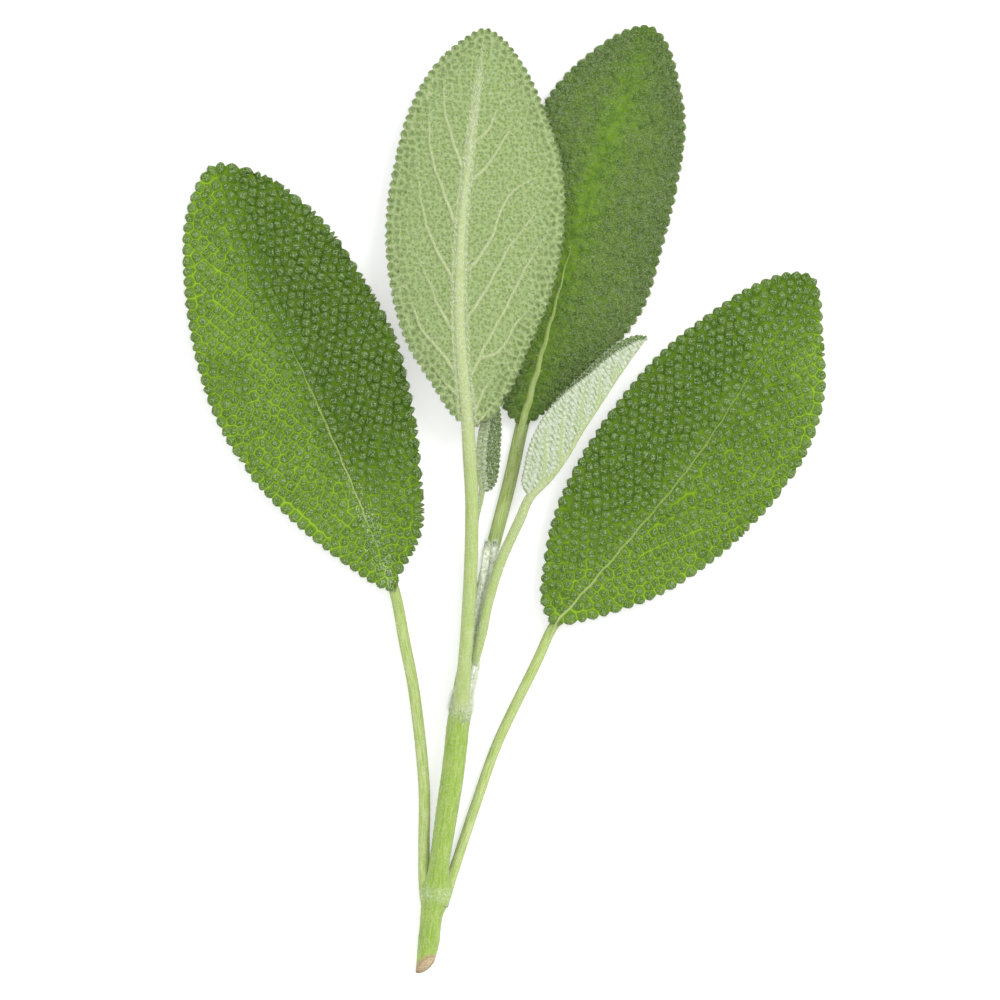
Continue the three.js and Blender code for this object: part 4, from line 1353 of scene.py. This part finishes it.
def vein_shadow_strokes(f):
    """Short slanting strokes of painted shadow along the tertiary veins, in rows between the side veins of a
    folded leaf, 1 on a stroke.
    """
    ahead, aside = f.layer("ahead"), f.layer("aside")
    stroke = f.minus(f.times(ahead, 0.91), f.times(aside, 0.42))
    row = f.minus(f.times(aside, 0.88), f.times(ahead, 0.47))
    place = f.add("ShaderNodeCombineXYZ", {"X": stroke, "Y": row})
    wander = f.noise(place.outputs[0], 1.1)
    turn = f.plus(f.times(stroke, 2 * math.pi / STROKE_PITCH), f.times(wander, 9.0))
    breaks = f.math("SINE", f.plus(f.times(row, 2 * math.pi / ROW_PITCH), turn))
    return f.times(f.step(f.math("SINE", turn), 0.1, 0.8), f.step(breaks, -0.7, 0.1))


def woolly_finish(name, thin, thick):
    """Outside of a young folded leaf: wool, green strokes painted as the shadows of its tertiary veins,
    smooth side veins.
    """
    f = Finish(name, roughness=0.85, Sheen_Weight=0.3, Specular_IOR_Level=0.2)
    here = f.here()
    hazy = f.noise(here, 3600, detail=3, rough=0.6)
    patchy = f.noise(here, 900)
    f.shade = f.mix(f.step(hazy, 0.3, 0.7), thin, thick)
    gap = f.step(f.minus(f.layer("dome"), f.times(hazy, 0.3)), 0.3, 0.02)
    f.paint(f.times(gap, f.step(patchy, 0.35, 0.6)), linear(160, 186, 122), 0.35)
    # painted shadow: darker green strokes along the tertiary veins
    f.paint(vein_shadow_strokes(f), linear(142, 172, 102), 0.8)
    f.paint(f.step(f.layer("vein"), 0.08, 0.4), linear(188, 207, 148))
    f.paint(f.step(f.layer("edge"), 0.5, 0.95), linear(112, 146, 78))
    f.bump(hazy, 0.00012)
    return f.done()


def young_face_finish():
    """Inside of a folded leaf: grey-green blisters with white hairs."""
    f = Finish("sage_young_face", roughness=0.8, Sheen_Weight=0.2, Specular_IOR_Level=0.2)
    hazy = f.noise(f.here(), 4200, detail=3, rough=0.6)
    f.shade = f.mix(f.step(f.layer("dome"), 0.2, 0.8), linear(108, 134, 72), linear(86, 110, 62))
    f.paint(f.step(hazy, 0.52, 0.64), linear(184, 196, 164))
    f.bump(hazy, 0.0001)
    return f.done()


def shoot_finish():
    """Silky white shoot lobes with dark green tips."""
    f = Finish("sage_shoot_wool", roughness=0.85, Sheen_Weight=0.3, Specular_IOR_Level=0.2)
    hazy = f.noise(f.here(), 2400, detail=3, rough=0.6)
    silk = f.step(f.plus(hazy, streaks(f, 10.0)), 0.8, 1.15)
    f.shade = f.mix(silk, linear(190, 210, 156), WOOL_WHITE)
    f.paint(f.step(f.layer("run"), 14.4, 15.4), linear(116, 142, 98))
    f.bump(hazy, 0.00015)
    return f.done()


def hair_finish(name, dark, pale, roughness=0.7, gloss=0.15):
    """Hairs, a little paler in some places than in others."""
    f = Finish(name, roughness, Specular_IOR_Level=gloss)
    f.shade = f.mix(f.noise(f.here(), 500), dark, pale)
    return f.done()


def table_finish():
    """White table that glows a little by itself."""
    f = Finish("table_white", roughness=0.7, Specular_IOR_Level=0.1)
    f.shade = f.mix(f.noise(f.here(), 60), (0.54, 0.54, 0.54, 1), (0.56, 0.56, 0.56, 1))
    f.shader.inputs["Emission Color"].default_value = (1, 1, 1, 1)
    f.shader.inputs["Emission Strength"].default_value = TABLE_GLOW
    return f.done()


# ------------------------------------------------------------------ pieces

def smooth_object(name, mesh, materials):
    """An object in the scene with such materials, smoothly shaded."""
    for material in materials:
        mesh.materials.append(material)
    mesh.polygons.foreach_set("use_smooth", np.ones(len(mesh.polygons), bool))
    piece = bpy.data.objects.new(name, mesh)
    bpy.context.scene.collection.objects.link(piece)
    return piece


def own_piece(name, mesh, materials, slot, replaced):
    """One piece of the sprig, which stands in for a node of the solids."""
    piece = smooth_object(name, mesh, materials)
    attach(piece, "root")
    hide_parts(replaced)


def solid_mesh(bm, name):
    """Mesh of a solid that is given in mm."""
    bmesh.ops.scale(bm, vec=(MM, MM, MM), verts=bm.verts[:])
    mesh = mesh_of(bm, name)
    write_points(mesh, read_points(mesh))
    return mesh


def hair_piece(name, mesh, weight, rng, kind, finish, owner, **lay):
    """A kind of hairs on a mesh, densest where the weight is highest."""
    own_piece(name, hairs_on(name, mesh, weight, rng, **HAIRS[kind], **lay), [finish], *owner)


def stalk_hairs(name, rib_mesh, leaf, rng, kind, finish, owner):
    """Hairs on a stalk and its rib, thickest where the stalk leaves its node."""
    cover = 1 + 3 * smoothstep(2.6, 0.4, read_layer(rib_mesh, "run") + stalk_length(leaf))
    hair_piece(name, rib_mesh, cover, rng, kind, finish, owner)


def down_on(name, mesh, leaf, at, shown, rng, finishes, owner):
    """Down of the side that shows: short and loose, or on a downy leaf long and combed to one side."""
    if not leaf["downy"]:
        hair_piece(name, mesh, shown * (1.2 - at["net"]), rng, "down", finishes["down"], owner)
        return
    far = np.abs(at["across"])
    bare = 0.45 + 0.55 * smoothstep(0.5, 4.5, far)
    bare *= 0.55 + 0.45 * smoothstep(6, 22, at["a"])
    weight = shown * smoothstep(0.4, 1.2, far) * bare
    aside = (*(-0.35 * chord(leaf)[2]), 0)
    hair_piece(name, mesh, weight, rng, "combed", finishes["combed_down"], owner, lay=aside)


def silk_on(name, mesh, leaf, at, shown, rng, finishes, owner):
    """Long hairs along the veins of an underside, or round the midrib at the base of a face."""
    kind = "base_silk" if leaf["face_up"] else "vein_silk"
    weight = at["silk"] + 0.3 * at["vein"]
    if leaf["face_up"]:
        weight = np.exp(-(at["across"] / 1.1)**2) * smoothstep(20, 3, at["a"])
    ahead = (*(0.8 * chord(leaf)[1]), 0)
    hair_piece(name, mesh, shown * weight, rng, kind, finishes["hair"], owner, lay=ahead)


def open_leaf(name, leaf, finishes):
    """All pieces of an open leaf: its blade, its ribs and its hairs."""
    owner = (leaf["slot"], name)
    mesh, at = open_blade(name + "_blade", leaf)
    face = finishes["downy_face" if leaf["downy"] else "face"]
    own_piece(name + "_blade", mesh, [face, finishes["underside"]], *owner)
    rib_mesh = solid_mesh(leaf_rib(leaf, at["veins"]), name + "_rib")
    own_piece(name + "_rib", rib_mesh, [finishes["stalk" if leaf["face_up"] else "ridge"]], *owner)
    rng = np.random.default_rng(leaf["seed"] + HAIR_SEED)
    shown = at["skin"] * (1 if leaf["face_up"] else -1) > 0
    down_on(name + "_down", mesh, leaf, at, shown, rng, finishes, owner)
    if leaf["rib_hidden"] or not leaf["face_up"]:
        silk_on(name + "_silk", mesh, leaf, at, shown, rng, finishes, owner)
    hair_piece(name + "_fringe", mesh, at["edge"]**2, rng, "fringe", finishes["down"], owner)
    stalk_hairs(name + "_stalk_hair", rib_mesh, leaf, rng, "stalk", finishes["hair"], owner)


def folded_leaf(name, leaf, finishes):
    """All pieces of a folded leaf: its blade, its keel with the stalk, and its wool."""
    owner = (leaf["slot"], name)
    mesh, at = folded_blade(name + "_blade", leaf)
    own_piece(name + "_blade", mesh, [finishes[leaf["wool"]], finishes["young_face"]], *owner)
    rib_mesh = solid_mesh(keel_rib(leaf), name + "_rib")
    own_piece(name + "_rib", rib_mesh, [finishes["ridge"]], *owner)
    rng = np.random.default_rng(leaf["seed"] + HAIR_SEED)
    cover = at["reach"] + 2 * at["edge"]
    hair_piece(name + "_wool", mesh, cover, rng, leaf["wool"], finishes["hair"], owner)
    stalk_hairs(name + "_stalk_hair", rib_mesh, leaf, rng, "young_stalk", finishes["hair"], owner)


def stem_and_shoot(finishes):
    """The stem and the shoot tip, with their hairs."""
    of_stem, of_shoot = ("stem", "stem"), ("leaf_woolly", "shoot_tip")
    stem = solid_mesh(stem_solid(), "stem_skin")
    own_piece("stem_skin", stem, [finishes["stem"], finishes["cut"]], *of_stem)
    shoot = solid_mesh(shoot_tip_solid(), "shoot_lobes")
    own_piece("shoot_lobes", shoot, [finishes["shoot"]], *of_shoot)
    rng = np.random.default_rng(STEM_HAIR_SEED)
    run = read_layer(stem, "run")
    second = np.exp(-((run - SECOND_NODE) / 1.4)**2)
    nodes = np.exp(-((run - FIRST_NODE) / 1.2)**2) + second
    down = (run > 1.5) * (1 + 0.8 * nodes)
    hair_piece("stem_hair", stem, down, rng, "stem_down", finishes["long_down"], of_stem)
    tufts = second + smoothstep(SECOND_NODE, SECOND_NODE + 2, run) + 0.06 * nodes
    hair_piece("stem_wool", stem, tufts, rng, "stem_wool", finishes["hair"], of_stem)
    even = np.ones(len(shoot.vertices))
    hair_piece("shoot_silk", shoot, even, rng, "shoot_silk", finishes["hair"], of_shoot)


# ------------------------------------------------------------------ studio

def soft_lamp(name, place, aim, size, power):
    """A round lamp that faces the point that it is aimed at."""
    lamp = bpy.data.lights.new(name, "AREA")
    lamp.shape = "DISK"
    lamp.size = size
    lamp.energy = power
    light = bpy.data.objects.new(name, lamp)
    light.location = place
    light.rotation_euler = (Vector(aim) - Vector(place)).to_track_quat("-Z", "Y").to_euler()
    bpy.context.scene.collection.objects.link(light)


def white_surroundings():
    world = bpy.data.worlds.new("studio_white")
    world.use_nodes = True
    background = world.node_tree.nodes["Background"]
    background.inputs["Color"].default_value = (1, 1, 1, 1)
    background.inputs["Strength"].default_value = 1.3
    bpy.context.scene.world = world


def table():
    """A wide pale table, its top just under the sprig."""
    bm = bmesh.new()
    bmesh.ops.create_grid(bm, x_segments=1, y_segments=1, size=2.0)
    board = smooth_object("table", mesh_of(bm, "table"), [table_finish()])
    board.location.z = -0.00002


def overhead_camera():
    """A long lens, straight above the sprig."""
    camera = bpy.data.cameras.new("overhead")
    camera.lens = 360
    camera.sensor_width = 36
    camera.clip_end = 10
    view = bpy.data.objects.new("overhead", camera)
    view.location = (-0.54 * MM, -0.085 * MM, 1.3)
    bpy.context.scene.collection.objects.link(view)
    bpy.context.scene.camera = view


def studio():
    bpy.context.scene.view_settings.view_transform = "Standard"
    white_surroundings()
    table()
    soft_lamp("key_soft", (0.45, 0.45, 0.7), (0, 0, 0), 0.5, 6.0)
    overhead_camera()


studio()
FINISHES = {
    "face": face_finish(), "downy_face": downy_face_finish(), "underside": underside_finish(),
    "stalk": stalk_finish(), "ridge": ridge_finish(), "stem": stem_finish(), "cut": cut_finish(),
    "thick_wool": woolly_finish("sage_young_wool", linear(196, 208, 176), linear(226, 232, 216)),
    "thin_wool": woolly_finish("sage_thin_wool", linear(166, 190, 124), linear(228, 234, 208)),
    "young_face": young_face_finish(), "shoot": shoot_finish(),
    "hair": hair_finish("sage_white_hair", (0.66, 0.73, 0.52, 1), WOOL_WHITE, roughness=0.6, gloss=0.3),
    "down": hair_finish("sage_face_down", linear(146, 170, 108), linear(190, 206, 156)),
    "combed_down": hair_finish("sage_combed_down", linear(166, 190, 126), linear(222, 232, 196)),
    "long_down": hair_finish("sage_long_down", linear(160, 182, 120), linear(208, 220, 176)),
}
for leaf_name, leaf_values in OPEN_LEAVES.items():
    open_leaf(leaf_name, {**USUAL_LEAF, **leaf_values}, FINISHES)
for leaf_name, leaf_values in FOLDED_LEAVES.items():
    folded_leaf(leaf_name, {**USUAL_LEAF, **leaf_values}, FINISHES)
stem_and_shoot(FINISHES)
